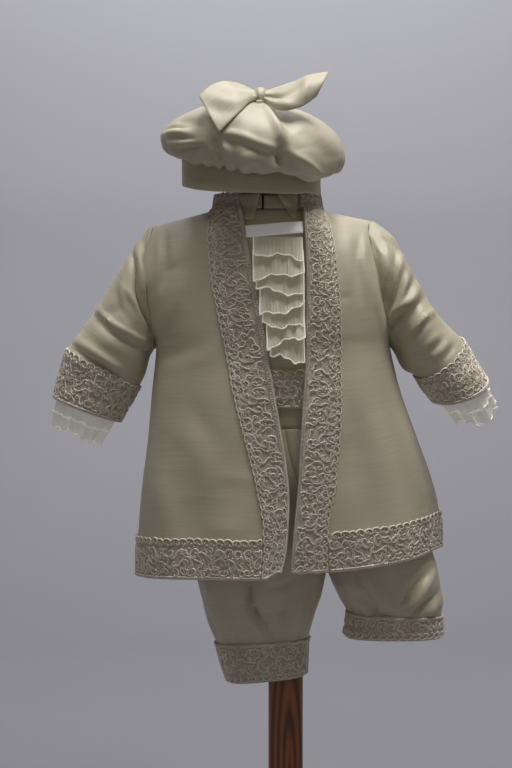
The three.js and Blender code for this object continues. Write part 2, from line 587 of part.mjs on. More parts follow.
const capRing = (row) => Array.from({ length: CAP.around }, (_, i) => {
  const angle = i / CAP.around * 2 * Math.PI;
  const scale = (CAP.halfWidth + row.reach) / CAP.halfWidth;
  return point(
    CAP.x + CAP.halfWidth * scale * Math.cos(angle),
    CAP.halfDepth * scale * Math.sin(angle),
    lerp(row.left, row.right, (1 + Math.cos(angle)) / 2) + row.tip * Math.sin(angle),
  );
});
const cap = new THREE.Group();
piece(cap, 'cap_band', wall(CAP_BAND.map(capRing), SILK, true), silk);
piece(cap, 'cap_crown', wall(CAP_CROWN.map(capRing), SILK, true), silk);

// The bow's two ends, station by station in +X order: [x, y, z] of the lower and of the upper edge.
const BOW_ENDS = {
  left: [
    [[-68.2, -104, 763.7], [-89, -80, 802.8]],
    [[-58.4, -100, 774.9], [-75.2, -68, 817.4]],
    [[-46.2, -91, 787.8], [-56.2, -57, 823]],
    [[-37.7, -76, 799], [-40.7, -52, 818.2]],
    [[-30.8, -64, 803], [-30.8, -51, 813.3]],
  ],
  right: [
    [[-23.2, -64, 802], [-23.2, -52, 813]],
    [[-5.1, -77, 789.5], [3.9, -54, 819.8]],
    [[13.7, -70, 794.5], [20.5, -52, 828.9]],
    [[30.9, -60, 807.2], [44, -46, 834.2]],
  ],
};
for (const [name, stations] of Object.entries(BOW_ENDS)) {
  const rows = [0, 0.25, 0.5, 0.75, 1].map((share) => stations.map(([lower, upper]) =>
    point(...lower).lerp(point(...upper), share).add(point(0, -5 * Math.sin(Math.PI * share), 0))));
  piece(cap, `bow_end_${name}`, wall(rows, RIBBON), silk);
}
const KNOT = { x: -27, y: -58, z: 801.8, height: 15, lean: 6, halfWidth: 2.6, halfDepth: 8, around: 12 };
const knotRows = [0, 0.5, 1].map((share) => Array.from({ length: KNOT.around }, (_, i) => {
  const angle = i / KNOT.around * 2 * Math.PI;
  return point(
    KNOT.x + KNOT.halfWidth * Math.cos(angle),
    KNOT.y + KNOT.lean * share + KNOT.halfDepth * Math.sin(angle),
    KNOT.z + KNOT.height * share,
  );
}));
piece(cap, 'bow_knot', wall(knotRows, RIBBON, true), silk);

// ---- The stand ----
// A turned or shaped solid: levels from the bottom up, each an outline and the height it lies at.
function solidOf(levels) {
  const across = levels[0].length;
  const points = levels.flat();
  const bottom = points.push(centreOf(levels[0])) - 1;
  const top = points.push(centreOf(levels.at(-1))) - 1;
  const index = [];
  for (let i = 0; i < across; i++) {
    const next = (i + 1) % across;
    const last = (levels.length - 1) * across;
    index.push(bottom, next, i, top, last + i, last + next);
    for (let level = 0; level < last; level += across) {
      index.push(level + i, level + next, level + across + next);
      index.push(level + i, level + across + next, level + across + i);
    }
  }
  const geometry = new THREE.BufferGeometry().setFromPoints(points);
  geometry.setIndex(index);
  geometry.computeVertexNormals();
  return geometry;
}

// An upright solid with softened edges. outline(inset) gives [x, y] pairs.
function upright(outline, from, to, edge) {
  const levels = [[from, edge], [from + 0.3 * edge, 0.3 * edge], [from + edge, 0],
    [to - edge, 0], [to - 0.3 * edge, 0.3 * edge], [to, edge]];
  return solidOf(levels.map(([z, inset]) => outline(inset).map(([x, y]) => point(x, y, z))));
}
const oval = ({ x = 0, halfWidth, halfDepth, power = 2, around: count = 32 }) => (inset) =>
  Array.from({ length: count }, (_, i) => {
    const [across, deep] = ovalPoint(i / count * 2 * Math.PI, power);
    return [x + (halfWidth - inset) * across, (halfDepth - inset) * deep];
  });

const stand = new THREE.Group();
const BASE = { halfWidth: 125, halfDepth: 125, height: 20, around: 40 };
const POST = { halfWidth: 18.2, halfDepth: 18.2, power: 6, around: 28 };
const NECK_POST = { x: CAP.x, halfWidth: 11, halfDepth: 11, around: 20 };
const WAIST_BOARD = { from: 487.3, to: 499 };
const YOKE = { from: -122, to: 72, halfDepth: 10, halfHeight: 13, clear: SHIRT_INSIDE + SILK / 2 + 0.8, sides: 16 };
const HEAD_BLOCK = { from: 728, to: 737 };

piece(stand, 'stand_base', upright(oval(BASE), 0, BASE.height, 3), wood);
piece(stand, 'stand_post', upright(oval(POST), BASE.height + SEAM, WAIST_BOARD.from - SEAM, 1.5), wood);

// The waist board fills the shirt's waist.
const boardOutline = (z) => (inset) => {
  const above = SHIRT_ROWS.findIndex((row) => row.z > z);
  const loops = moved(waistLoop, -(inset + SILK / 2 + SEATED), true);
  const share = (z - SHIRT_ROWS[above - 1].z) / (SHIRT_ROWS[above].z - SHIRT_ROWS[above - 1].z);
  return loops[above - 1].map((p, i) => {
    const q = p.clone().lerp(loops[above][i], share);
    return [q.x, q.y];
  });
};
piece(stand, 'stand_waist_board', upright(boardOutline(WAIST_BOARD.from), WAIST_BOARD.from, WAIST_BOARD.to, 2), wood);

// The yoke: a rounded bar that follows the shoulder seams from under the shirt.
function shoulderHeight(x) {
  const neckLeft = NECK.x - NECK.halfWidth;
  const neckRight = NECK.x + NECK.halfWidth;
  const { left, right } = SHOULDER_TIP;
  if (x < neckLeft) return lerp(NECK.z, left.z, (neckLeft - x) / (neckLeft - left.x));
  return lerp(NECK.z, right.z, Math.max(x - neckRight, 0) / (right.x - neckRight));
}
const yokeStations = [[YOKE.from, 0.4], [YOKE.from + 3, 0.8], [YOKE.from + 9, 1], [-77, 1], [-19, 1], [39, 1],
  [YOKE.to - 9, 1], [YOKE.to - 3, 0.8], [YOKE.to, 0.4]];
const yokeLevels = yokeStations.map(([x, size]) => Array.from({ length: YOKE.sides }, (_, i) => {
  const angle = i / YOKE.sides * 2 * Math.PI;
  const top = shoulderHeight(x) - YOKE.clear - YOKE.halfHeight;
  return point(x, YOKE.halfDepth * size * Math.cos(angle), top + YOKE.halfHeight * size * Math.sin(angle));
}));
piece(stand, 'stand_yoke', solidOf(yokeLevels), wood);
const yokeMiddle = NECK.z - YOKE.clear - YOKE.halfHeight;
const upperPost = oval({ ...POST, x: 0 });
const upperTop = yokeMiddle - YOKE.halfHeight - SEAM;
piece(stand, 'stand_upper_post', upright(upperPost, WAIST_BOARD.to + SEAM, upperTop, 1.5), wood);
const neckFrom = NECK.z - YOKE.clear + SEAM;
piece(stand, 'stand_neck', upright(oval(NECK_POST), neckFrom, HEAD_BLOCK.from - SEAM, 1), wood);
const headOutline = oval({
  x: CAP.x, halfWidth: CAP.halfWidth - SILK / 2 - SEATED, halfDepth: CAP.halfDepth - SILK / 2 - SEATED,
  around: CAP.around,
});
piece(stand, 'stand_head_block', upright(headOutline, HEAD_BLOCK.from, HEAD_BLOCK.to, 2), wood);

const suit = new THREE.Group();
suit.add(stand, coat, shirt, breeches, cap);
export default suit;
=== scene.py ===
"""The looks of a baby's christening suit on a display stand.

Lengths below are millimetres until a mesh is made. The tables of sections are the part's own; here their
surfaces are drawn finer, creased and dressed with corded lace, frills and stitched edges.
"""
import math

import bmesh
import bpy
import numpy as np
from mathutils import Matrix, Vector


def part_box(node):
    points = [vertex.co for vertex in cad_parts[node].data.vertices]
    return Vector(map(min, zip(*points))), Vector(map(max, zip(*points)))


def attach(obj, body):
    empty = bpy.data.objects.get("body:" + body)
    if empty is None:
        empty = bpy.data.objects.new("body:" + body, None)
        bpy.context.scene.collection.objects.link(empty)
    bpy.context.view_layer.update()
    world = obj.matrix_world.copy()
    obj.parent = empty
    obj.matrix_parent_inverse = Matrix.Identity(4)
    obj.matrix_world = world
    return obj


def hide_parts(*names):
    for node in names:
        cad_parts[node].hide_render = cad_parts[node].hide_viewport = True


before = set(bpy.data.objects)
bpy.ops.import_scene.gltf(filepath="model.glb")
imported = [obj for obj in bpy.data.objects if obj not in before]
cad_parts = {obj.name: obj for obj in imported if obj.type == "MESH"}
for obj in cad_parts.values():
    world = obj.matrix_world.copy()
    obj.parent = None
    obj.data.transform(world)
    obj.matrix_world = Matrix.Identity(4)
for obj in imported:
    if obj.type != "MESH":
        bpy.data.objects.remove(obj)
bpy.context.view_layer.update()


def table(columns, *rows):
    """A table's rows, each with the columns' names."""
    return [dict(zip(columns.split(), row)) for row in rows]


# ---- Driving dimensions ----
MM = 0.001
SILK, LACE, RIBBON = 1.2, 1.0, 1.0
SEAM, COLLAR_CLEAR = 0.3, 2.2
SLEEVE_SEAM_LOOK = 0.5      # the armhole seam, closer than between the solids
ORGANZA_LOOK = 0.5          # the frills' cloth, drawn thinner than its solid
BODY_CENTRE, CHEST = -20, 553
BODY_ROWS = table(
    "z droop left right front back power seam leftEdge leftLace rightEdge rightLace",
    (313, 1.00, -157, 162, 86, 84, 2.5, 24, -6, -27, 4, 43),
    (334, 0.95, -157, 162, 85, 83, 2.5, 24, -1, -25, 5, 42),
    (356, 0.85, -156, 160, 84, 82, 2.5, 24, 1, -25, 7, 43),
    (400, 0.45, -152, 152, 81, 78, 2.6, 24, 2, -31, 11, 50),
    (452, 0.10, -146, 138, 77, 71, 2.7, 20, -4, -43, 14, 55),
    (500, 0.00, -141, 122, 72, 64, 2.9, 9, -12, -55, 17, 57),
    (CHEST, 0.00, -136, 109, 66, 57, 3.2, 0, -21, -65, 20, 57))
SHOULDER_ROWS = table(
    "rise left right power armhole leftEdge leftLace rightEdge rightLace",
    (0.06, -139, 109, 3.3, 12, -23, -68, 20, 57), (0.18, -147, 108, 3.5, 22, -28, -73, 20.5, 56),
    (0.33, -156, 104, 3.8, 27, -34, -79, 20.5, 54), (0.50, -158, 99, 4.0, 28, -39, -81, 19.5, 50),
    (0.68, -155, 94, 4.0, 27, -43, -81, 18, 45), (0.85, -149, 92, 4.0, 20, -45.5, -80, 17.5, 41),
    (1.00, -143, 92, 4.0, 0, -47, -77, 17.5, 39))
HEM = dict(left=-1, leftFront=1, rightFront=7, right=28, back=3)   # the hem's rise above its row
NECK = dict(x=-19, halfWidth=58, front=50, back=42, z=694, backRise=9)
SHOULDER_TIP = dict(left=dict(x=-143, z=678), right=dict(x=92, z=684))
NECK_ANGLE = 66       # degrees round from the side where a shoulder seam meets the neckline
# A sleeve's sections, from the cuff up: left end x, z; right end x, z; middle's y; half depth; tip.
LEFT_SLEEVE = [
    (-243, 498, -176, 473, -8, 36, 2), (-236, 525, -165, 492, -7, 38, 2), (-228, 551, -155, 511, -6, 40, 2),
    (-211, 573, -150, 520, -5, 43, 2), (-194, 600, -147, 529, -4, 44, 1), (-179, 626, -145, 538, -3, 43, 0),
    (-165, 648, -142, 547, -3, 41, 0),
]
RIGHT_SLEEVE = [
    (155, 496, 211, 516, -12, 36, 12), (145, 509, 197, 539, -10, 38, 12), (137, 521, 183, 561, -8, 39, 11),
    (126, 527, 162, 583, -6, 41, 7), (121, 533, 146, 606, -4, 42, 4), (118, 540, 132, 632, -3, 42, 2),
    (114.5, 547, 117, 660, -3, 40, 0),
]
SHIRT_ROWS = table(
    "z centre left right front back power",
    (466, -2, -97, 93, 60, 52, 2.5), (487, -3, -99, 94, 61, 52, 2.5), (507, -5, -104, 95, 62, 52.5, 2.6),
    (527, -9, -113, 98, 62.5, 53, 2.8), (CHEST, -20, -131, 104, 62.5, 53, 3.2))
SHIRT_INSIDE = 1.9
# The jabot's frills: ends' x, the seam's height, the hem's height at either end, how far it stands off.
JABOT = [
    (-34, 16, 663, 646, 640, 7, 0.4), (-34.5, 17, 650, 618, 626, 9, 1.9), (-31, 17.5, 633, 609, 603, 8, 3.1),
    (-27, 18, 615, 581, 591, 9, 4.0), (-24, 18, 599, 572, 570, 8, 5.2), (-20.5, 18, 583, 549, 561, 9, 0.9),
    (-17, 17.5, 566, 541, 534, 8, 2.4),
]
COLLAR = dict(height=17.5, lean=3, start=-54, end=240)
NECKBAND = dict(height=14, lean=3, start=-94, end=263)
# The shirt collar's points: upper edge's x, lower edge's x, and their heights.
COLLAR_POINTS = dict(left=((-49, -27), (-44, -34), 708, 681), right=((-9, 12), (6, 10.5), 708, 683))
TIE = dict(start=-45.4, end=16.9, height=12, z=662, slope=5.5)
SEAT_ROWS = table(
    "z seam left right front back power span",
    (318, 43, -96, 159, 54, 52, 2.6, 180), (338, 37, -99, 154, 57, 55, 2.6, 145),
    (364, 28, -102, 147, 60, 57, 2.6, 120), (396, 16, -105, 135, 63, 58, 2.6, 102),
    (430, 5, -104, 118, 64, 57, 2.6, 93), (465.8, -2, -98.5, 94.5, 61.5, 53.5, 2.5, 90))
LEFT_LEG = table(
    "z slope left right front back power",
    (199, 8, -60, 20.8, 38, 37, 3), (219, 6, -67, 21.6, 39, 38, 3), (240, 6, -73, 22.8, 40, 39, 2.9),
    (263, 3, -82.5, 29, 45, 43, 2.7), (291, 0, -91, 38, 50, 48, 2.6))
RIGHT_LEG = table(
    "z slope left right front back power",
    (246, 0, 63, 164.5, 43, 42, 2.6), (259, -1, 65, 164.5, 44, 43, 2.6),
    (272, -3, 66.5, 163.5, 45, 44, 2.6), (285, 0, 59, 165, 50, 48, 2.6), (301, 0, 50, 163, 53, 51, 2.6))
CAP = dict(x=-36.6, halfWidth=73, halfDepth=76)
# The cap's rings: how far out from the head, the heights at the two sides, how far the front hangs lower.
CAP_BAND = [(0, 722, 717, 11), (0, 740, 729, 10), (0, 757, 741, 9)]
CAP_CROWN = [
    (1.4, 758, 742, 9), (9, 754, 736, 12), (18, 758, 736, 13), (23.5, 769, 744, 13), (24.5, 780, 755, 12),
    (18, 793, 771, 10), (4, 803, 786, 7), (-19, 809, 799, 4), (-46, 812, 807, 2), (-73, 811, 811, 0),
]
BOW_ENDS = dict(
    left=[((-68.2, -104, 763.7), (-89, -80, 802.8)), ((-58.4, -100, 774.9), (-75.2, -68, 817.4)),
          ((-46.2, -91, 787.8), (-56.2, -57, 823)), ((-37.7, -76, 799), (-40.7, -52, 818.2)),
          ((-30.8, -64, 803), (-30.8, -51, 813.3))],
    right=[((-23.2, -64, 802), (-23.2, -52, 813)), ((-5.1, -77, 789.5), (3.9, -54, 819.8)),
           ((13.7, -70, 794.5), (20.5, -52, 828.9)), ((30.9, -60, 807.2), (44, -46, 834.2))])
KNOT = dict(x=-27, y=-58, z=802.5, height=13, lean=6, halfWidth=3.8, halfDepth=7.2)
FRONT_CELLS, BAND_CELLS, BACK_CELLS, NECK_CELLS, SHIRT_CELLS = 5, 3, 4, 8, 3
CUFF_ROWS, BAND_ROWS, LEG_LACE_ROWS, HEM_ROWS, LEG_CELLS = 3, 4, 3, 3, 6
CHEST_ROW = len(BODY_ROWS) - 1


# ---- Curves and grids ----
def lerp(a, b, t):
    return a + (b - a) * t


def steps(start, end, count):
    return list(np.linspace(start, end, count + 1))


def unit(vectors):
    return vectors / np.maximum(np.linalg.norm(vectors, axis=-1, keepdims=True), 1e-9)


def smooth(low, high, value):
    t = np.clip((value - low) / (high - low), 0, 1)
    return t * t * (3 - 2 * t)


def oval(angle, power):
    c, s = math.cos(angle), math.sin(angle)
    return math.copysign(abs(c) ** (2 / power), c), math.copysign(abs(s) ** (2 / power), s)


def hem_rise(angle, droop):
    is_left = math.cos(angle) < 0
    middle = (HEM["leftFront"] if is_left else HEM["rightFront"]) if math.sin(angle) < 0 else HEM["back"]
    return droop * lerp(middle, HEM["left"] if is_left else HEM["right"], math.cos(angle) ** 2)


def section(row, angle, depths=None):
    depths = depths or row
    centre = row.get("centre", BODY_CENTRE)
    across, deep = oval(angle, row["power"])
    side = centre - row["left"] if across < 0 else row["right"] - centre
    return centre + side * across, deep * (depths["front"] if deep < 0 else depths["back"])


def top_line(angle, power, inside):
    """The shoulder seams and the neckline as one closed line."""
    from_side = math.degrees(math.asin(min(1, abs(math.sin(angle)))))
    is_left, is_front = math.cos(angle) < 0, math.sin(angle) < 0
    tip = SHOULDER_TIP["left" if is_left else "right"]
    half = NECK["halfWidth"] - inside
    sign = -1 if is_left else 1
    if from_side <= NECK_ANGLE:
        share = lambda degrees: 1 - math.cos(math.radians(degrees)) ** (2 / power)
        along = share(from_side) / share(NECK_ANGLE)
        return lerp(tip["x"], NECK["x"] + sign * half, along), 0, lerp(tip["z"], NECK["z"], along) - inside
    turn = (from_side - NECK_ANGLE) / (90 - NECK_ANGLE) * math.pi / 2
    depth = inside - NECK["front"] if is_front else NECK["back"] - inside
    rise = 0 if is_front else NECK["backRise"] * math.sin(turn) ** 2
    return NECK["x"] + sign * half * math.cos(turn), depth * math.sin(turn), NECK["z"] - inside + rise


def body_point(row, angle, chest, inside=0):
    if "rise" not in row:
        x, y = section(row, angle)
        return x, y, row["z"] + hem_rise(angle, row.get("droop", 0))
    x, y = section(row, angle, chest)
    top = top_line(angle, row["power"], inside)
    turn = row["rise"] * math.pi / 2
    return (lerp(x, top[0], row["rise"] ** 3), lerp(top[1], y, math.cos(turn)),
            lerp(chest["z"], top[2], math.sin(turn)))


def front_angle(row, x, chest):
    low, high = math.radians(-172), math.radians(-8)
    for _ in range(40):
        middle = (low + high) / 2
        if body_point(row, middle, chest)[0] < x:
            low = middle
        else:
            high = middle
    return (low + high) / 2


def across_body(start, end, side_cells):
    corner = math.radians(math.copysign(NECK_ANGLE, start + end))
    ends = (corner, math.pi - corner) if corner > 0 else (-math.pi - corner, corner)
    return (steps(start, ends[0], side_cells) + steps(*ends, NECK_CELLS)[1:]
            + steps(ends[1], end, side_cells)[1:])


def hermite(points, counts, closed=False):
    """A smooth line through the points, along the first axis, with counts[k] steps in its k-th span."""
    points = np.asarray(points, float)
    if closed:
        points = np.concatenate([points, points[:1]])
    gaps = np.diff(points, axis=0)
    flat = gaps.reshape(len(gaps), -1, points.shape[-1])
    span = np.maximum(np.linalg.norm(flat, axis=2).mean(axis=1), 1e-6)
    shape = (-1,) + (1,) * (points.ndim - 1)
    slope = gaps / span.reshape(shape)
    before, after = slope[:-1], slope[1:]
    a, b = span[:-1].reshape(shape), span[1:].reshape(shape)
    inner = (before * b + after * a) / (a + b)
    if closed:
        ends = (slope[-1] * span[0] + slope[0] * span[-1]) / (span[0] + span[-1])
        first, last = ends, ends
    else:
        first, last = (3 * slope[0] - inner[0]) / 2, (3 * slope[-1] - inner[-1]) / 2
    tangent = np.concatenate([first[None], inner, last[None]])
    out = []
    for k, count in enumerate(counts):
        t = (np.arange(count) / count).reshape(shape)
        out.append((2 * t ** 3 - 3 * t ** 2 + 1) * points[k]
                   + (t ** 3 - 2 * t ** 2 + t) * span[k] * tangent[k]
                   + (3 * t ** 2 - 2 * t ** 3) * points[k + 1]
                   + (t ** 3 - t ** 2) * span[k] * tangent[k + 1])
    if not closed:
        out.append(points[-1:])
    return np.concatenate(out)


def refine(grid, step, along, closed=False, like=None):
    """The grid drawn finer: about one row each step millimetres, and along columns for each column.
    Also the new places of the old rows. like is a grid whose row heights are used instead of its own."""
    rows = np.linalg.norm(np.diff(grid if like is None else like, axis=0), axis=2).mean(axis=1)
    counts = [max(2, round(height / step)) for height in rows]
    fine = hermite(grid, counts)
    columns = grid.shape[1] - (0 if closed else 1)
    fine = hermite(fine.swapaxes(0, 1), [along] * columns, closed).swapaxes(0, 1)
    return fine, np.concatenate([[0], np.cumsum(counts)])


def normals_of(grid, closed=False):
    if closed:
        du = np.roll(grid, -1, 1) - np.roll(grid, 1, 1)
    else:
        du = np.gradient(grid, axis=1)
    normal = unit(np.cross(du, np.gradient(grid, axis=0)))
    if np.ptp(grid[-1], axis=0).max() < 1e-6:
        top = normal[-2].mean(axis=0)
        normal[-1] = top / np.linalg.norm(top)
    return normal


def moved(grid, distance, closed=False):
    return grid + normals_of(grid, closed) * np.asarray(distance)[..., None]


def drawn_in(grid, start=0, end=0, bottom=0, top=0):
    fine = grid.copy()
    for gap, edge, inner in ((start, np.s_[:, 0], np.s_[:, 1]), (end, np.s_[:, -1], np.s_[:, -2]),
                             (bottom, np.s_[0], np.s_[1]), (top, np.s_[-1], np.s_[-2])):
        if gap:
            pull = grid[inner] - grid[edge]
            fine[edge] += pull / np.linalg.norm(pull, axis=-1, keepdims=True) * gap
    return fine


# ---- Creases: soft ridges and troughs along paths drawn on the suit, seen from the front ----
def crease(grid, normal, path, width, height, facing=-1):
    """How far a crease pushes each point out. path is [(x, z), ...]; facing is -1 on the front, 1 behind."""
    path = np.asarray(path, float)
    flat = grid[..., [0, 2]]
    lengths = np.linalg.norm(np.diff(path, axis=0), axis=1)
    nearest = np.full(flat.shape[:2], 1e9)
    place = np.zeros_like(nearest)
    for k, (a, b) in enumerate(zip(path[:-1], path[1:])):
        t = np.clip(((flat - a) @ (b - a)) / lengths[k] ** 2, 0, 1)
        distance = np.linalg.norm(flat - (a + t[..., None] * (b - a)), axis=2)
        place = np.where(distance < nearest, (lengths[:k].sum() + t * lengths[k]) / lengths.sum(), place)
        nearest = np.minimum(nearest, distance)
    taper = np.sin(np.pi * np.clip(place, 0.04, 0.96)) ** 0.6
    side = smooth(-0.15, 0.3, facing * normal[..., 1])
    return height * taper * side * np.exp(-(nearest / width) ** 2)


def ripple(grid, seed, scale, height):
    """Gentle unevenness: a few long waves that cross."""
    waves = np.random.default_rng(seed)
    total = np.zeros(grid.shape[:2])
    for _ in range(7):
        direction = waves.normal(size=3)
        direction *= 2 * math.pi / (scale * waves.uniform(0.6, 1.8)) / np.linalg.norm(direction)
        total += np.sin(grid @ direction + waves.uniform(0, 6.3))
    return total * height / 3.5


def creased(grid, creases, seed=1, scale=70, height=0.8, closed=False, extra=0):
    normal = normals_of(grid, closed)
    out = ripple(grid, seed, scale, height) + extra
    for path, width, rise in creases:
        out = out + crease(grid, normal, path, width, rise)
        behind = [(x + 5, z - 9) for x, z in path]
        out = out + crease(grid, normal, behind, width * 1.15, rise * 0.8, 1)
    return grid + normal * out[..., None]


# ---- Meshes ----
def make_object(name, verts, faces, materials, uv=None, wrap=None, sharp=50, weld=False):
    mesh = bpy.data.meshes.new(name)
    mesh.from_pydata((np.asarray(verts) * MM).tolist(), [], faces)
    for material in materials:
        mesh.materials.append(material)
    if uv is not None:
        layer = mesh.uv_layers.new(name="cloth")
        corner = np.empty(len(mesh.loops), dtype=np.int32)
        mesh.loops.foreach_get("vertex_index", corner)
        spots = np.asarray(uv)[corner].reshape(-1, 4, 2)
        if wrap is not None:
            u, turn = spots[..., 0], np.asarray(wrap)[corner].reshape(-1, 4)
            split = np.ptp(u, axis=1) > turn.mean(axis=1) / 2
            u[split] += np.where(u[split] < 0, turn[split], 0)
        layer.data.foreach_set("uv", (spots * MM).ravel())
    if weld:
        work = bmesh.new()
        work.from_mesh(mesh)
        bmesh.ops.remove_doubles(work, verts=work.verts, dist=1e-6)
        work.to_mesh(mesh)
        work.free()
    mesh.validate()
    mesh.shade_smooth()
    mesh.set_sharp_from_angle(angle=math.radians(sharp))
    obj = bpy.data.objects.new(name, mesh)
    bpy.context.scene.collection.objects.link(obj)
    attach(obj, "root")
    return obj


def lengths_of(grid, closed):
    """Each point's place on the flat cloth, in millimetres, and how long its row is."""
    rows = np.concatenate([grid, grid[:, :1]], axis=1) if closed else grid
    u = np.cumsum(np.linalg.norm(np.diff(rows, axis=1), axis=2), axis=1)
    u = np.concatenate([np.zeros((len(grid), 1)), u], axis=1)
    turn = np.repeat(u[:, -1:], grid.shape[1], axis=1)
    u = (u - u[:, -1:] / 2)[:, :grid.shape[1]]
    up = np.linalg.norm(np.diff(grid, axis=0), axis=2)
    v = np.concatenate([np.zeros((1, grid.shape[1])), np.cumsum(up, axis=0)], axis=0)
    return np.stack([u, v], axis=2), turn


def area_of(grid, closed):
    rows = np.concatenate([grid, grid[:, :1]], axis=1) if closed else grid
    a = rows[1:, :-1] - rows[:-1, :-1]
    b = rows[:-1, 1:] - rows[:-1, :-1]
    return float(np.linalg.norm(np.cross(a, b), axis=2).sum()) * MM * MM


def cloth(name, grid, thickness, material, closed=False):
    """A thin wall of cloth round its middle surface, with softly rounded edges."""
    normal = normals_of(grid, closed)
    rows, cols = grid.shape[:2]
    half = thickness / 2
    outer, inner = grid + normal * half, grid - normal * half
    flat, turn = lengths_of(grid, closed)
    uv_flat, turn_flat = flat.reshape(-1, 2), turn.ravel()
    verts = [outer.reshape(-1, 3), inner.reshape(-1, 3)]
    uvs, wraps = [uv_flat, uv_flat], [turn_flat, turn_flat]
    at = np.arange(rows * cols).reshape(rows, cols)
    count = rows * cols
    faces = []

    def pairs(line):
        line = list(line)
        return list(zip(line, line[1:] + line[:1])) if closed else list(zip(line[:-1], line[1:]))

    for j in range(rows - 1):
        for (a, b), (d, c) in zip(pairs(at[j]), pairs(at[j + 1])):
            faces.append((a, b, c, d))
            faces.append((a + count, d + count, c + count, b + count))
    apex = np.ptp(grid[-1], axis=0).max() < 1e-6
    loop = list(at[0])
    if not closed:
        loop += list(at[1:, -1]) + list(at[-1, -2::-1]) + list(at[-2:0:-1, 0])
    loops = [(loop, 1)]
    if closed and not apex:
        loops.append((list(at[-1]), -1))
    start = 2 * count
    for line, sign in loops:
        line = np.array(line)
        centre = grid.reshape(-1, 3)[line]
        tangent = (np.roll(centre, -1, 0) - np.roll(centre, 1, 0)) * sign
        out = unit(np.cross(tangent, normal.reshape(-1, 3)[line]))
        verts.append(centre + out * half * 0.7)
        uvs.append(uv_flat[line])
        wraps.append(turn_flat[line])
        n = len(line)
        for k in range(n):
            m = (k + 1) % n
            quads = [(line[k], start + k, start + m, line[m]),
                     (start + k, line[k] + count, line[m] + count, start + m)]
            faces += [quad[::sign] for quad in quads]
        start += n
    faces = [tuple(int(i) for i in face) for face in faces]
    obj = make_object(name, np.concatenate(verts), faces, [material], np.concatenate(uvs),
                      np.concatenate(wraps) if closed else None, 65, apex)
    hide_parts(name)
    area = area_of(grid, closed)
    width = turn.max() * MM
    length = np.ptp(flat[..., 1], axis=0).max() * MM
    while width * length < area * 1.001:
        width *= 1.02
    return obj


CORD_TIP = 0.55             # a cord's end, as a share of its radius


def tubes(name, lines, radius, sides, material):
    """Round cords along lines of points. Each line is (points, normals)."""
    verts, faces = [], []
    base = 0
    angles = math.pi / 2 + np.arange(sides) / sides * 2 * math.pi
    radii = radius if hasattr(radius, "__len__") else [radius] * len(lines)
    for (points, normal), r in zip(lines, radii):
        tangent = np.gradient(points, axis=0)
        side = unit(np.cross(tangent, normal))
        up = unit(np.cross(side, tangent))
        thin = np.ones(len(points))
        thin[[0, -1]] = CORD_TIP
        round_it = side[:, None] * np.cos(angles)[:, None] + up[:, None] * np.sin(angles)[:, None]
        ring = points[:, None] + round_it * r * thin[:, None, None]
        verts.append(ring.reshape(-1, 3))
        n = len(points)
        index = base + np.arange(n * sides).reshape(n, sides)
        a, b = index[:-1], index[1:]
        quads = np.stack([a, np.roll(a, -1, 1), np.roll(b, -1, 1), b], axis=2).reshape(-1, 4)
        faces += quads.tolist()
        faces += [index[0][::-1].tolist(), index[-1].tolist()]
        base += n * sides
    return make_object(name, np.concatenate(verts), faces, [material], sharp=140)


# ---- Materials ----
class Nodes:
    """A few short words for building a material."""

    def __init__(self, name):
        self.material = bpy.data.materials.new(name)
        self.material.use_nodes = True
        self.tree = self.material.node_tree
        self.tree.nodes.clear()
        self.output = self.add("ShaderNodeOutputMaterial")
        self.shader = self.add("ShaderNodeBsdfPrincipled")
        self.link(self.shader, "BSDF", self.output, "Surface")

    def add(self, kind, **settings):
        node = self.tree.nodes.new(kind)
        for key, value in settings.items():
            if hasattr(node, key):
                setattr(node, key, value)
            else:
                node.inputs[key.replace("_", " ")].default_value = value
        return node

    def link(self, source, output, target, socket):
        self.tree.links.new(source.outputs[output], target.inputs[socket])

    def place(self, kind, scale, turn=0.0):
        """Texture coordinates in metres, scaled: kind is UV on the cloth or Object in space."""
        where = self.add("ShaderNodeTexCoord")
        mapping = self.add("ShaderNodeMapping")
        mapping.inputs["Scale"].default_value = scale
        mapping.inputs["Rotation"].default_value = (0, 0, turn)
        self.link(where, kind, mapping, "Vector")
        return mapping

    def noise(self, place, scale, detail=3.0, rough=0.55):
        node = self.add("ShaderNodeTexNoise", Scale=scale, Detail=detail, Roughness=rough)
        self.link(place, "Vector", node, "Vector")
        return node

    def ramp(self, source, output, stops):
        node = self.add("ShaderNodeValToRGB")
        elements = node.color_ramp.elements
        while len(elements) < len(stops):
            elements.new(0.5)
        for element, (position, colour) in zip(elements, stops):
            element.position = position
            element.color = (*colour, 1)
        self.link(source, output, node, "Fac")
        return node

    def paint(self, colour):
        self.tree.links.new(colour, self.shader.inputs["Base Color"])

    def multiply(self, a, b, amount):
        node = self.add("ShaderNodeMix", data_type="RGBA", blend_type="MULTIPLY")
        node.inputs[0].default_value = amount
        self.tree.links.new(a, node.inputs[6])
        self.tree.links.new(b, node.inputs[7])
        return node.outputs[2]

    def bump(self, layers):
        """Stacked bumps: [(node, output, strength, distance in metres), ...]."""
        last = None
        for source, output, strength, distance in layers:
            node = self.add("ShaderNodeBump", Strength=strength, Distance=distance)
            self.link(source, output, node, "Height")
            if last:
                self.link(last, "Normal", node, "Normal")
            last = node
        self.link(last, "Normal", self.shader, "Normal")

    def set(self, **values):
        for key, value in values.items():
            self.shader.inputs[key.replace("_", " ")].default_value = value


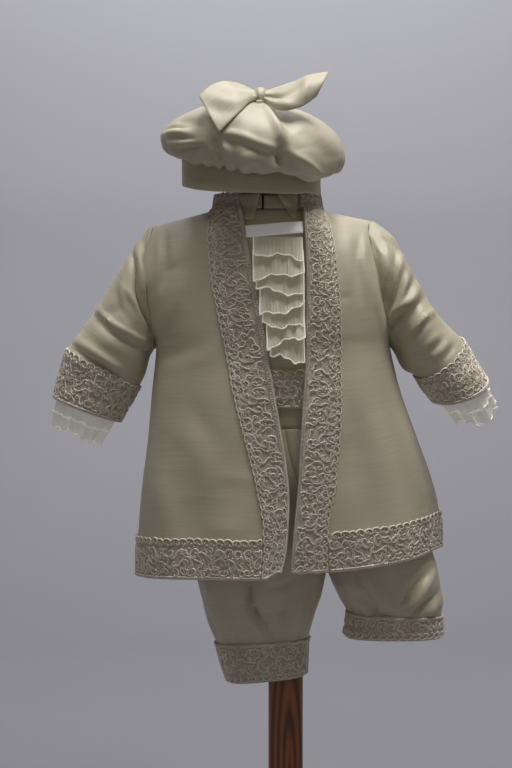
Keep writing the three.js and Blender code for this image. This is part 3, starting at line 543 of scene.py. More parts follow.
def silk(name, light, dark, rough=0.44):
    """Dupion: threads across the cloth with long slubs, a soft sheen, and slight unevenness in colour."""
    n = Nodes(name)
    slubs = n.noise(n.place("UV", (22, 620, 1)), 1.0, 4.0, 0.6)
    weft = n.noise(n.place("UV", (90, 2600, 1)), 1.0, 2.0, 0.5)
    broad = n.noise(n.place("Object", (1, 1, 1)), 7.0, 3.0, 0.5)
    tone = n.ramp(broad, "Fac", [(0.3, dark), (0.7, light)])
    streak = n.ramp(slubs, "Fac", [(0.32, (0.86, 0.85, 0.82)), (0.62, (1, 1, 1))])
    colour = n.multiply(tone.outputs["Color"], streak.outputs["Color"], 0.75)
    n.paint(colour)
    shine = n.add("ShaderNodeMapRange")
    shine.inputs["To Min"].default_value = rough - 0.07
    shine.inputs["To Max"].default_value = rough + 0.09
    n.link(slubs, "Fac", shine, "Value")
    n.link(shine, "Result", n.shader, "Roughness")
    n.set(Specular_IOR_Level=0.5, Sheen_Weight=0.2, Sheen_Roughness=0.4, Sheen_Tint=(1.0, 0.96, 0.88, 1))
    n.bump([(broad, "Fac", 0.1, 0.004), (slubs, "Fac", 0.3, 0.0004), (weft, "Fac", 0.22, 0.00015)])
    return n.material


def net(name, light, dark):
    """The lace's ground: fine net over silk, clouded with small worked threads."""
    n = Nodes(name)
    mesh = n.add("ShaderNodeTexVoronoi", Scale=780.0, feature="DISTANCE_TO_EDGE")
    n.link(n.place("UV", (1, 1, 1)), "Vector", mesh, "Vector")
    worked = n.noise(n.place("UV", (1, 1, 1), 0.5), 520.0, 4.0, 0.6)
    curls = n.add("ShaderNodeTexWave", Scale=210.0, Distortion=9.0, Detail=2.0, wave_type="RINGS")
    n.link(n.place("UV", (1, 1, 1)), "Vector", curls, "Vector")
    curls.inputs["Detail Scale"].default_value = 1.6
    ground = n.ramp(worked, "Fac", [(0.36, dark), (0.66, light)])
    thread = n.ramp(curls, "Fac", [(0.55, (0.72, 0.7, 0.66)), (0.8, (1, 1, 1))])
    colour = n.multiply(ground.outputs["Color"], thread.outputs["Color"], 0.7)
    n.paint(colour)
    n.set(Roughness=0.62, Specular_IOR_Level=0.35)
    n.bump([(mesh, "Distance", 0.35, 0.0004), (worked, "Fac", 0.5, 0.0008), (curls, "Fac", 0.5, 0.0006)])
    return n.material


def cord(name, light, dark, rough=0.42, glow=0.0):
    """Twisted silk cord. glow is painted light: an emission that makes the cord glow of its own."""
    n = Nodes(name)
    twist = n.noise(n.place("Object", (1, 1, 1)), 1400.0, 2.0, 0.6)
    tone = n.ramp(n.noise(n.place("Object", (1, 1, 1)), 55.0, 2.0), "Fac", [(0.35, dark), (0.65, light)])
    n.paint(tone.outputs["Color"])
    n.set(Roughness=rough, Specular_IOR_Level=0.6, Sheen_Weight=0.2, Emission_Color=(*light, 1),
          Emission_Strength=glow)
    n.bump([(twist, "Fac", 0.4, 0.0003)])
    return n.material


def organza(name, colour, solid, glow):
    """Sheer crisp cloth: part of the light passes straight through, the rest scatters about inside its
    folds. glow is painted light: a faint emission of its own that brightens the cloth."""
    n = Nodes(name)
    threads = n.noise(n.place("UV", (1500, 120, 1)), 1.0, 3.0, 0.6)
    tone = n.ramp(threads, "Fac", [(0.3, tuple(0.86 * c for c in colour)), (0.7, colour)])
    n.paint(tone.outputs["Color"])
    n.set(Roughness=0.5, Specular_IOR_Level=0.5, Sheen_Weight=0.3, Emission_Color=(*colour, 1),
          Emission_Strength=glow)
    n.bump([(threads, "Fac", 0.3, 0.0004)])
    clear = n.add("ShaderNodeBsdfTransparent", Color=(1, 1, 1, 1))
    through = n.add("ShaderNodeBsdfTranslucent")
    n.link(tone, "Color", through, "Color")
    body = n.add("ShaderNodeMixShader", Fac=0.3)
    n.link(n.shader, "BSDF", body, 1)
    n.link(through, "BSDF", body, 2)
    mix = n.add("ShaderNodeMixShader", Fac=solid)
    n.link(clear, "BSDF", mix, 1)
    n.link(body, "Shader", mix, 2)
    n.link(mix, "Shader", n.output, "Surface")
    return n.material


def ribbon_satin(name, colour):
    n = Nodes(name)
    weave = n.noise(n.place("UV", (300, 2400, 1)), 1.0, 2.0)
    tone = n.ramp(weave, "Fac", [(0.3, tuple(0.9 * c for c in colour)), (0.7, colour)])
    n.paint(tone.outputs["Color"])
    # Emission_Strength 0.1 is painted light: the ribbon glows a little of its own, so it reads brighter in
    # the cap's shade
    n.set(Roughness=0.35, Specular_IOR_Level=0.6, Sheen_Weight=0.6, Sheen_Roughness=0.5,
          Emission_Color=(*colour, 1), Emission_Strength=0.1)
    n.bump([(weave, "Fac", 0.15, 0.0002)])
    return n.material


def bead(name, colour):
    n = Nodes(name)
    grain = n.noise(n.place("Object", (1, 1, 1)), 300.0)
    tone = n.ramp(grain, "Fac", [(0.4, tuple(0.8 * c for c in colour)), (0.6, colour)])
    n.paint(tone.outputs["Color"])
    n.set(Roughness=0.12, Specular_IOR_Level=0.9, Coat_Weight=0.6, Coat_Roughness=0.08)
    return n.material


def stained_wood(name):
    """Reddish brown wood, its grain running up the post."""
    n = Nodes(name)
    place = n.place("Object", (1, 1, 0.11))
    place.inputs["Location"].default_value = (-0.004, 0, -0.012)
    rings = n.add("ShaderNodeTexWave", Scale=52.0, Distortion=1.6, Detail=2.0, wave_type="RINGS",
                  rings_direction="Y")
    n.link(place, "Vector", rings, "Vector")
    rings.inputs["Detail Scale"].default_value = 0.8
    pores = n.noise(n.place("Object", (1, 1, 0.03)), 900.0, 3.0, 0.7)
    base = n.ramp(rings, "Fac", [(0.08, (0.13, 0.034, 0.009)), (0.4, (0.24, 0.075, 0.02)),
                                 (0.95, (0.34, 0.12, 0.032))])
    flecks = n.ramp(pores, "Fac", [(0.38, (0.75, 0.7, 0.66)), (0.55, (1, 1, 1))])
    colour = n.multiply(base.outputs["Color"], flecks.outputs["Color"], 0.8)
    n.paint(colour)
    n.set(Roughness=0.36, Specular_IOR_Level=0.5, Coat_Weight=0.25, Coat_Roughness=0.2)
    n.bump([(pores, "Fac", 0.15, 0.0003)])
    return n.material


def plaster(name, colour):
    """Grey wall and floor, with painted shade that makes them darker low down."""
    n = Nodes(name)
    grain = n.noise(n.place("Object", (1, 1, 1)), 3.0)
    tone = n.ramp(grain, "Fac", [(0.3, tuple(0.97 * c for c in colour)), (0.7, colour)])
    height = n.add("ShaderNodeSeparateXYZ")
    n.link(n.place("Object", (1, 1, 1)), "Vector", height, "Vector")
    # painted shade: the colour is darkened towards the floor, down to 0.62 of itself at height 0
    painted_shade_low = n.ramp(height, "Z", [(0.0, (0.62, 0.62, 0.63)), (1.0, (1, 1, 1))])
    colour = n.multiply(tone.outputs["Color"], painted_shade_low.outputs["Color"], 1.0)
    n.paint(colour)
    n.set(Roughness=0.85, Specular_IOR_Level=0.2)
    return n.material


SILK_LIGHT, SILK_DARK = (0.65, 0.6, 0.47), (0.57, 0.515, 0.39)
cream_silk = silk("cream_silk", SILK_LIGHT, SILK_DARK)
shirt_silk = silk("shirt_silk", (0.60, 0.55, 0.40), (0.5, 0.45, 0.31), 0.36)
lace_net = net("lace_net", (0.76, 0.68, 0.57), (0.54, 0.46, 0.365))
lace_cord = cord("lace_cord", (0.96, 0.89, 0.8), (0.86, 0.78, 0.68))
# glow=0.15 is painted light, making the frills' and the jabot's edge threads look bright
edge_thread = cord("edge_thread", (0.97, 0.95, 0.86), (0.9, 0.87, 0.76), glow=0.15)
lace_bead = bead("lace_bead", (0.8, 0.76, 0.7))
# the last argument of each organza is its glow, painted light that brightens the frills and the jabot
frill_cloth = organza("frill_cloth", (0.95, 0.95, 0.91), 0.8, 0.1)
jabot_cloth = organza("jabot_cloth", (0.86, 0.84, 0.72), 0.94, 0.04)
white_ribbon = ribbon_satin("white_ribbon", (0.97, 0.97, 0.98))
wood = stained_wood("wood")


# ---- Corded lace ----
CORD, THIN_CORD = 1.0, 0.6
CORD_SIDES = 3              # few, because there are thousands of short cords
CORD_LIFT, THIN_LIFT, BEAD_LIFT = 0.34, 0.15, 0.1
SCALLOP = 2.4               # how far the edge scrolls reach past the net


def scroll(kind, count=20):
    """One cord a unit long, lying along +x: C and S curl at both ends, V at one, F is a leaf's outline."""
    if kind == "F":
        t = np.linspace(0, 2 * math.pi, 15)
        return np.stack([0.5 * np.cos(t), 0.2 * np.sin(t) * (1 - 0.45 * np.cos(t))], axis=1)
    u = np.linspace(-1, 1, count)
    bend = 2.2 + 7.6 * np.abs(u)
    turn = {"C": 1.0, "S": np.sign(u), "V": np.where(u > 0, 1.0, -0.12)}[kind]
    heading = np.cumsum(bend * turn) * 2 / count
    heading -= heading[count // 2]
    stride = 1 - 0.45 * np.abs(u) ** 2
    path = np.cumsum(np.stack([np.cos(heading), np.sin(heading)], axis=1) * stride[:, None], axis=0)
    path -= (path.max(axis=0) + path.min(axis=0)) / 2
    return path / np.ptp(path, axis=0).max()


SCROLLS = {kind: scroll(kind) for kind in "CSVF"}


def turned(path, angle, size, at, mirror):
    path = path * size * ([1, -1] if mirror else [1, 1])
    c, s = math.cos(angle), math.sin(angle)
    return path @ np.array([[c, s], [-s, c]]) + at


# Lanes of scrolls across the lace: distance from its plain edge, spacing, size, the kinds in turn and
# their slants.
EDGE_LANE = (4.6, 8.4, 8.4, "CCVC", (0, 12, -14, 4))
LANES = [(8.2, 8.6, 8.6, "CVSC", (20, -60, 100, 160)), (17, 10.8, 12.6, "SCSV", (35, 120, -40, 75)),
         (26.5, 9.4, 10.6, "CSCF", (-25, 80, 150, 40)), (36.5, 10.8, 12.4, "SCVS", (50, -70, 110, 10)),
         (46, 9.4, 10.4, "CSCV", (0, 70, 140, -40)), (55, 10.2, 11.0, "SCVC", (60, -20, 100, 30))]


def lace_lines(length, width, chance):
    """The cords of a strip of lace, as flat lines of (along, across from the plain edge), and the places of
    its beads."""
    main, fine, spots = [], [], []
    lanes = [lane for lane in LANES if lane[0] < width - 9.5] + [(width - EDGE_LANE[0],) + EDGE_LANE[1:]]
    for lane, (across, spacing, size, kinds, slants) in enumerate(lanes):
        count = max(1, round(length / spacing))
        outer = lane == len(lanes) - 1
        for k in range(count):
            jitter = 0.3 if outer else 0.9
            at = [(k + 0.5 + 0.37 * (lane % 2)) % count * length / count + chance.normal(0, jitter),
                  across + chance.normal(0, jitter)]
            kind = kinds[(k + chance.integers(0, 2)) % len(kinds)]
            slant = 0 if outer else slants[k % len(slants)]
            angle = math.radians(slant + chance.normal(0, 6 if outer else 14)) + (math.pi if outer else 0)
            scale = size * chance.uniform(0.92, 1.12)
            flip = not outer and (k + lane) % 2 == 1
            path = turned(SCROLLS["C" if outer else kind], angle, scale, at, flip)
            main.append(path)
            if size > 10 and kind != "F":
                fine.append(turned(SCROLLS[kind][3:-3], angle, scale * 0.7, at, flip))
            if kind == "F":
                main.append(turned(SCROLLS["F"], angle + 1.2, scale * 0.7, at, flip))
            spots += [path[1], path[-2]]
    for _ in range(int(length * width / 60)):
        at = [chance.uniform(2, length - 2), chance.uniform(5, width - 4)]
        size = chance.uniform(3.0, 5.4)
        kind = "CSV"[chance.integers(0, 3)]
        fine.append(turned(SCROLLS[kind][::2], chance.uniform(0, 6.3), size, at, False))
        spots.append(np.array([chance.uniform(1, length - 1), chance.uniform(3, width - 3)]))
    inside = lambda path: np.clip(path, [0.5, 0.7], [length - 0.5, width + 0.4])
    return [inside(p) for p in main], [inside(p) for p in fine], inside(np.array(spots))


def braid(length, at, pitch=5.2, swing=1.3):
    s = np.linspace(0.5, length - 0.5, max(8, int(length / pitch * 5)))
    wave = swing * np.sin(2 * math.pi * s / pitch)
    return [np.stack([s, at + wave], axis=1), np.stack([s, at - wave], axis=1)]


class Strip:
    """A strip of lace as a surface: along its length, and across it from -1 to 1."""

    def __init__(self, grid, lengthwise, closed, plain):
        self.plain = plain
        if lengthwise == "rows":
            grid = grid.swapaxes(0, 1)
        self.closed = closed
        if closed:
            grid = np.concatenate([grid, grid[:, :1]], axis=1)
        self.grid = grid
        du, dv = np.gradient(grid, axis=1), np.gradient(grid, axis=0)
        if closed:
            du[:, 0] = du[:, -1] = grid[:, 1] - grid[:, -2]
        self.normal = unit(np.cross(du, dv) * (-1 if lengthwise == "rows" else 1))
        middle = grid[len(grid) // 2]
        self.along = np.concatenate([[0], np.cumsum(np.linalg.norm(np.diff(middle, axis=0), axis=1))])
        self.length = self.along[-1]
        self.width = float(np.linalg.norm(np.diff(grid, axis=0), axis=2).sum(axis=0).mean())

    def lift(self, flat, height):
        """Flat places, measured from the plain edge, as points that height above the surface, and normals."""
        rows = len(self.grid) - 1
        across = flat[:, 1] / self.width
        u = np.interp(flat[:, 0], self.along, np.arange(len(self.along)))
        v = np.clip((across if self.plain < 0 else 1 - across) * rows, 0, rows * 1.01)
        i, j = np.minimum(u.astype(int), len(self.along) - 2), np.minimum(v.astype(int), rows - 1)
        fu, fv = (u - i)[:, None], (v - j)[:, None]
        mix = lambda a: ((a[j, i] * (1 - fu) + a[j, i + 1] * fu) * (1 - fv)
                         + (a[j + 1, i] * (1 - fu) + a[j + 1, i + 1] * fu) * fv)
        normal = unit(mix(self.normal))
        return mix(self.grid) + normal * height, normal


def bead_mesh(name, points, normal, size):
    """Small six-sided beads sitting on the lace."""
    verts, faces = [], []
    ring = np.arange(6) / 6 * 2 * math.pi
    for k, (p, n, r) in enumerate(zip(points, normal, size)):
        side = np.cross(n, [0.3, 0.2, 0.93])
        side /= np.linalg.norm(side)
        up = np.cross(side, n)
        circle = p + r * (np.cos(ring)[:, None] * side + np.sin(ring)[:, None] * up)
        verts += [circle, (p + n * r * 0.9)[None]]
        base = 7 * k
        faces += [(base + i, base + (i + 1) % 6, base + 6) for i in range(6)]
        faces.append(tuple(base + i for i in range(5, -1, -1)))
    return make_object(name, np.concatenate(verts), faces, [lace_bead], sharp=30)


def lace(name, grid, lengthwise, closed=False, plain=-1):
    """A strip of corded lace: net ground, scrolling cords, beads and a braid on its plain edge, which is
    the grid's first row or column, or its last where plain is 1."""
    chance = np.random.default_rng(sum(map(ord, name)))
    strip = Strip(grid, lengthwise, closed, plain)
    main, fine, spots = lace_lines(strip.length, strip.width, chance)
    top = LACE / 2
    edges = braid(strip.length, 1.7)
    if lengthwise == "rows":
        edges += [path[:, ::-1] for path in braid(strip.width, 1.9)]
    cords = [strip.lift(p, top + CORD_LIFT) for p in main + edges]
    thin = [strip.lift(p, top + THIN_LIFT) for p in fine]
    radii = [CORD] * len(cords) + [THIN_CORD] * len(thin)
    piece = tubes(name + "_cords", cords + thin, radii, CORD_SIDES, lace_cord)
    points, normal = strip.lift(spots, top + BEAD_LIFT)
    beads = bead_mesh(name + "_beads", points, normal, chance.uniform(0.5, 0.85, len(points)))
    far_edge = {("rows", 1): "start", ("rows", -1): "end",
                ("columns", 1): "bottom", ("columns", -1): "top"}[lengthwise, plain]
    ground = drawn_in(grid, **{far_edge: SCALLOP})
    return cloth(name, ground, LACE, lace_net, closed)


# ---- The coat ----
COAT_STEP, COAT_ALONG = 3.4, 5
coat_chest = BODY_ROWS[-1]
coat_rows = BODY_ROWS + SHOULDER_ROWS


def armhole_of(row):
    return math.radians(row.get("armhole", 0))


def seam_of(row):
    return math.radians(row.get("seam", 0))


def on_coat(row, angles):
    return [body_point(row, angle, coat_chest) for angle in angles]


def left_front_row(row):
    lace_edge = front_angle(row, row["leftLace"], coat_chest)
    side = steps(-math.pi + armhole_of(row), lace_edge, FRONT_CELLS)
    band = steps(lace_edge, front_angle(row, row["leftEdge"], coat_chest), BAND_CELLS)
    return on_coat(row, side + band[1:])


def right_front_row(row):
    lace_edge = front_angle(row, row["rightLace"], coat_chest)
    band = steps(front_angle(row, row["rightEdge"], coat_chest), lace_edge, BAND_CELLS)
    side = steps(lace_edge, -armhole_of(row) - seam_of(row), FRONT_CELLS)
    return on_coat(row, band + side[1:])


def back_row(row):
    return on_coat(row, across_body(armhole_of(row) - seam_of(row), math.pi - armhole_of(row), BACK_CELLS))


def coarse(make_row):
    return np.array([make_row(row) for row in coat_rows])


COAT_CREASES = [
    ([(-70, 416), (-48, 417), (-30, 414)], 7, 0.9), ([(-84, 363), (-62, 366), (-45, 362)], 8, 0.9),
    ([(-120, 470), (-96, 452), (-80, 420), (-74, 380)], 12, 1.6),
    ([(-104, 500), (-84, 470), (-60, 440)], 10, -1.1), ([(-140, 560), (-118, 590), (-100, 625)], 8, 1.6),
    ([(-146, 600), (-124, 622), (-100, 640)], 7, -1.5), ([(-133, 672), (-131, 640), (-134, 606)], 4, 1.8),
    ([(-126, 668), (-124, 640), (-128, 612)], 3.4, -1.6), ([(-120, 664), (-114, 636), (-118, 600)], 7, 1.5),
    ([(-132, 634), (-122, 630), (-108, 634)], 3, -1.1), ([(-132, 420), (-122, 380), (-118, 340)], 12, 2.4),
    ([(-98, 400), (-96, 360), (-97, 325)], 14, -1.8), ([(-60, 560), (-82, 540), (-110, 530)], 10, 1.1),
    ([(-140, 545), (-120, 540), (-96, 548)], 7, -1.3), ([(-62, 390), (-58, 350), (-60, 320)], 13, 1.2),
    ([(50, 602), (58, 600), (66, 602)], 3, -0.9), ([(60, 670), (66, 640), (64, 610)], 8, 1.8),
    ([(84, 668), (80, 640), (86, 600)], 5, 1.9), ([(76, 664), (72, 640), (76, 600)], 5, -1.8),
    ([(104, 556), (96, 590), (90, 630)], 4, 2.0), ([(70, 560), (76, 500), (90, 440)], 13, 1.6),
    ([(92, 540), (104, 480), (118, 420), (128, 370)], 12, -2.0),
    ([(110, 520), (128, 450), (142, 380)], 11, 2.4), ([(70, 470), (82, 410), (86, 350)], 14, -1.6),
    ([(58, 420), (62, 380), (60, 345)], 11, 1.2),
]
FLARES = 7


def skirt_waves(grid):
    """The skirt's soft vertical folds, which grow towards the hem."""
    angle = np.arctan2(grid[..., 1] * 1.6, grid[..., 0] + 20)
    low = smooth(520, 330, grid[..., 2])
    return low * (1.5 * np.sin(FLARES * angle + 0.8) + 0.9 * np.sin(11 * angle + 2.1))


def coat_panel(make_row, seed):
    grid, marks = refine(coarse(make_row), COAT_STEP, COAT_ALONG)
    return creased(grid, COAT_CREASES, seed, 80, 0.7, extra=skirt_waves(grid)), marks[HEM_ROWS - 1] + 1


left_front, left_hem = coat_panel(left_front_row, 3)
right_front, right_hem = coat_panel(right_front_row, 3)
back, back_hem = coat_panel(back_row, 3)
sewn = dict(start=SEAM / 2, end=SEAM / 2, top=0.4)
lace_gap = dict(start=SEAM, end=SEAM, top=SEAM)
band_cut = FRONT_CELLS * COAT_ALONG
band_end = BAND_CELLS * COAT_ALONG + 1


def on_top(grid, closed=False):
    return moved(grid, np.full(grid.shape[:2], SILK / 2 + SEAM + LACE / 2), closed)


cloth("coat_front_left", drawn_in(left_front, **sewn), SILK, cream_silk)
cloth("coat_front_right", drawn_in(right_front, **sewn), SILK, cream_silk)
cloth("coat_back", drawn_in(back, **sewn), SILK, cream_silk)
over = dict(lace_gap, top=COLLAR_CLEAR)
lace("lace_front_left", drawn_in(on_top(left_front[:, band_cut:]), **over), "rows",
     plain=1)
lace("lace_front_right", drawn_in(on_top(right_front[:, :band_end]), **over), "rows")
lace("lace_hem_left", drawn_in(on_top(left_front[:left_hem, :band_cut + 1]), **lace_gap), "columns")
lace("lace_hem_right", drawn_in(on_top(right_front[:right_hem, band_end - 1:]), **lace_gap), "columns")
lace("lace_hem_back", drawn_in(on_top(back[:back_hem]), **lace_gap), "columns")


def round_neck(shape, inside, shares, count=97):
    """A strip standing round the neck, open in front between its ends."""
    rows = []
    for share in shares:
        reach = 1 - share * shape["lean"] / NECK["halfWidth"]
        row = []
        for angle in np.radians(np.linspace(shape["start"], shape["end"], count)):
            front = math.sin(angle) < 0
            rise = 0 if front else NECK["backRise"] * math.sin(angle) ** 2
            row.append((NECK["x"] + (NECK["halfWidth"] - inside) * reach * math.cos(angle),
                        (NECK["front" if front else "back"] - inside) * reach * math.sin(angle),
                        NECK["z"] - inside + 1.2 + share * shape["height"] + rise))
        rows.append(row)
    return np.array(rows)


lace("coat_collar", round_neck(COLLAR, 0, np.linspace(0, 1, 7)), "columns")


# ---- Sleeves ----
def doubled(ring):
    return np.stack([ring, (ring + np.roll(ring, -1, 0)) / 2], axis=1).reshape(-1, 3)


def armhole(front_edge, back_edge, is_left):
    front_line, back_line = front_edge[CHEST_ROW:], back_edge[CHEST_ROW + 1:-1]
    loop = np.concatenate([front_line[::-1], back_line] if is_left else [front_line, back_line[::-1]])
    return doubled(loop) + [(-1 if is_left else 1) * SLEEVE_SEAM_LOOK, 0, 0]


def sleeve_ring(row, count):
    left_x, left_z, right_x, right_z, y, depth, tip = row
    left, right = np.array([left_x, y, left_z]), np.array([right_x, y, right_z])
    middle, half = (left + right) / 2, (right - left) / 2
    onward = np.array([half[2], 0, -half[0]])
    onward /= np.linalg.norm(onward)
    angle = math.pi + np.arange(count) / count * 2 * math.pi
    return (middle + np.cos(angle)[:, None] * half + depth * np.sin(angle)[:, None] * np.array([0, 1, 0])
            - tip * np.sin(angle)[:, None] * onward)


SLEEVE_STEP, SLEEVE_AROUND = 2.1, 5
LEFT_SLEEVE_CREASES = [
    ([(-162, 652), (-158, 638), (-155.5, 609), (-149, 591), (-134, 563)], 2.9, -8.5),
    ([(-156, 660), (-151, 636), (-149, 612), (-142, 596), (-128, 572)], 5, 4.8),
    ([(-140, 674), (-141, 650), (-143, 621)], 4, 1.8), ([(-148, 668), (-147, 652), (-147, 634)], 3.4, -1.4),
    ([(-164, 640), (-170, 618), (-170, 597), (-164, 576)], 4.5, 2.0),
    ([(-167, 612), (-158, 600), (-148, 586)], 4, 2.6), ([(-175, 606), (-170, 590), (-158, 570)], 4, -1.6),
    ([(-200, 593), (-178, 573), (-155, 560), (-138, 553)], 2.6, 3.2),
    ([(-203, 586), (-181, 565.5), (-158, 552), (-140, 546)], 4, -2.6),
    ([(-192, 582), (-180, 586), (-170, 592)], 6, -1.4), ([(-205, 572), (-186, 556), (-160, 540)], 7, 1.6),
    ([(-226, 553), (-204, 538), (-190, 530), (-170, 516)], 2.6, -4.2),
    ([(-218, 558), (-200, 546), (-184, 536), (-166, 524)], 4.4, 3.0),
    ([(-150, 548), (-140, 552), (-132, 558)], 4, 2.4), ([(-196, 542), (-184, 534), (-172, 528)], 3.6, 1.2),
]
RIGHT_SLEEVE_CREASES = [
    ([(88, 656), (96, 612), (103, 570)], 3.2, -4.5), ([(90, 661), (100, 645), (100, 616)], 3.5, 3.0),
    ([(104, 657), (106, 629), (100, 597)], 3.5, 3.6), ([(117, 652), (111, 626), (103, 588)], 3.1, -4.2),
    ([(121, 646), (114, 624), (106, 594)], 3.3, 3.2), ([(122, 630), (114, 606), (104, 578)], 3.1, -4.0),
    ([(128, 630), (122, 610), (109, 581)], 3.5, 3.4), ([(135, 625), (130, 613), (121, 603)], 3.3, -3.6),
    ([(139, 612), (130, 599), (114, 588), (104, 568)], 3.2, 4.6),
    ([(144, 602), (133, 589), (125, 575)], 3, -4.6), ([(123, 587), (112, 577), (103.5, 566)], 2.9, -4.4),
    ([(157, 590), (144, 581), (129, 563)], 3.2, 3.6), ([(148, 580), (140, 571), (133, 561)], 3.1, -3.2),
    ([(162, 558), (155, 551), (148, 544)], 2.9, -2.4), ([(158, 564), (150, 556), (143, 550)], 3.1, 1.6),
    ([(175, 554), (169, 546), (162, 537)], 2.9, -2.6), ([(168, 556), (162, 548), (155, 541)], 3.1, 1.6),
    ([(108, 668), (118, 662), (128, 650)], 3, 2.2), ([(102, 668), (112, 656), (116, 642)], 3.1, -2.2),
    ([(130, 548), (140, 540), (152, 532)], 5, -2.0),
]


def sleeve(name, table, creases, front_edge, back_edge, is_left, seed):
    hole = armhole(front_edge, back_edge, is_left)
    rows = np.array([sleeve_ring(row, len(hole)) for row in table] + [hole])
    grid, marks = refine(rows, SLEEVE_STEP, SLEEVE_AROUND, True)
    from_cuff = np.arange(len(grid))[:, None]
    fade = smooth(0, 9, from_cuff) * smooth(0, 5, len(grid) - 1 - from_cuff)
    shaped = creased(grid, creases, seed, 46, 0.8, True)
    grid = grid + (shaped - grid) * fade[..., None]
    cloth("sleeve_" + name, grid, SILK, cream_silk, True)
    cuff = grid[:marks[CUFF_ROWS - 1] + 1]
    lace("lace_cuff_" + name, on_top(cuff, True), "columns", True)
    return grid


left_rows, right_rows, back_rows = coarse(left_front_row), coarse(right_front_row), coarse(back_row)
left_sleeve = sleeve("left", LEFT_SLEEVE, LEFT_SLEEVE_CREASES, left_rows[:, 0], back_rows[:, -1], True, 21)
right_sleeve = sleeve("right", RIGHT_SLEEVE, RIGHT_SLEEVE_CREASES, right_rows[:, -1], back_rows[:, 0],
                      False, 22)


# ---- Frills ----
def edging(name, lines, radius, material=None):
    """A close overlocked edge."""
    return tubes(name, lines, radius, 6, material or edge_thread)


TIER = 8                    # the row of the frill that carries its upper row of stitching
FRILL = dict(tuck=7, length=27, waves=9, depth=4.0)


def cuff_frill(name, tube, phase):
    inner = moved(tube, np.full(tube.shape[:2], -(SILK / 2 + SEAM + ORGANZA_LOOK / 2) - 1.0), True)[:12]
    edge, above = (hermite(inner[row], [2] * inner.shape[1], True) for row in (0, 8))
    middle = edge.mean(axis=0)
    down = edge - above
    down /= np.linalg.norm(down, axis=1, keepdims=True)
    out = edge - middle
    out -= (out * down).sum(axis=1, keepdims=True) * down
    out /= np.linalg.norm(out, axis=1, keepdims=True)
    angle = np.arange(len(edge)) / len(edge) * 2 * math.pi
    rows = []
    for share in np.linspace(1, -FRILL["tuck"] / FRILL["length"], 20):
        reach = max(share, 0)
        fold = FRILL["depth"] * reach ** 0.7 * (np.sin(FRILL["waves"] * angle + phase)
                                               + 0.6 * np.sin(20 * angle + 2 * phase) * (1.1 - 0.3 * reach))
        sway = 1.6 * reach * np.sin(11 * angle + phase)
        length = FRILL["length"] * (share + 0.1 * reach * np.sin(3 * angle + phase)
                                    + 0.07 * reach * np.sin(14 * angle))
        side = np.cross(down, out)
        rows.append(edge + down * length[:, None] + out * (fold - 4.0 * reach - 1.6 * reach ** 0.2)[:, None]
                    + side * sway[:, None])
    grid = np.array(rows)
    closed_line = np.concatenate([grid[0], grid[0][:1]])
    normal = normals_of(grid, True)[0]
    around = np.concatenate([normal, normal[:1]])
    tier = np.concatenate([grid[TIER], grid[TIER][:1]]) + around * 1.1
    hem = edging(name + "_edge", [(closed_line, around), (tier, around)], 0.9)
    cloth(name, grid, ORGANZA_LOOK, frill_cloth, True)


cuff_frill("cuff_frill_left", left_sleeve, 0.6)
cuff_frill("cuff_frill_right", right_sleeve, 2.2)

# ---- The shirt and the waistband ----
SHIRT_STEP, SHIRT_ALONG = 6, 4
shirt_chest = SHIRT_ROWS[-1]
shirt_rows = SHIRT_ROWS + [
    dict(row, power=3.2 - 0.2 * row["rise"], left=row["left"] + 6, right=row["right"] - 4)
    for row in SHOULDER_ROWS]


def shirt_points(is_front):
    rows = []
    for row in shirt_rows:
        start = armhole_of(row) - (math.pi if is_front else 0)
        end = (0 if is_front else math.pi) - armhole_of(row)
        rows.append([body_point(row, angle, shirt_chest, SHIRT_INSIDE)
                     for angle in across_body(start, end, SHIRT_CELLS)])
    return np.array(rows)


def shirt_grid(is_front):
    return refine(shirt_points(is_front), SHIRT_STEP, SHIRT_ALONG, like=shirt_points(True))


shirt_front, shirt_marks = shirt_grid(True)
shirt_back, _ = shirt_grid(False)
cloth("shirt_front", drawn_in(shirt_front, **sewn), SILK, shirt_silk)
cloth("shirt_back", drawn_in(shirt_back, **sewn), SILK, shirt_silk)

waist_loop = np.concatenate([shirt_front[:, :-1], shirt_back[:, :-1]], axis=1)
waist_loop = waist_loop[:shirt_marks[BAND_ROWS - 1] + 1]
waist_ripple = 0.5 * np.sin(waist_loop[..., 2] / 7 + 1) * np.sin(waist_loop[..., 0] / 9)
waistband = moved(waist_loop, SILK + SEAM + 0.4 + waist_ripple * 0.3, True)
cloth("waistband", waistband, SILK, shirt_silk, True)
lace("lace_waist", on_top(waistband[shirt_marks[1]:], True), "columns", True)


def depth_at(grid, x, z):
    """How far forward a front lies at x and z."""
    near = np.abs(grid[..., 0] - x) + np.abs(grid[..., 2] - z)
    j, i = np.unravel_index(near.argmin(), near.shape)
    j, i = min(max(j, 1), len(grid) - 2), min(max(i, 1), grid.shape[1] - 2)
    a, b, c = grid[j, i], grid[j, i + 1], grid[j + 1, i]
    across, up = b - a, c - a
    s, t = np.linalg.solve([[across[0], up[0]], [across[2], up[2]]], [x - a[0], z - a[2]])
    s, t = np.clip([s, t], -1.5, 1.5)
    return a[1] + s * across[1] + t * up[1]


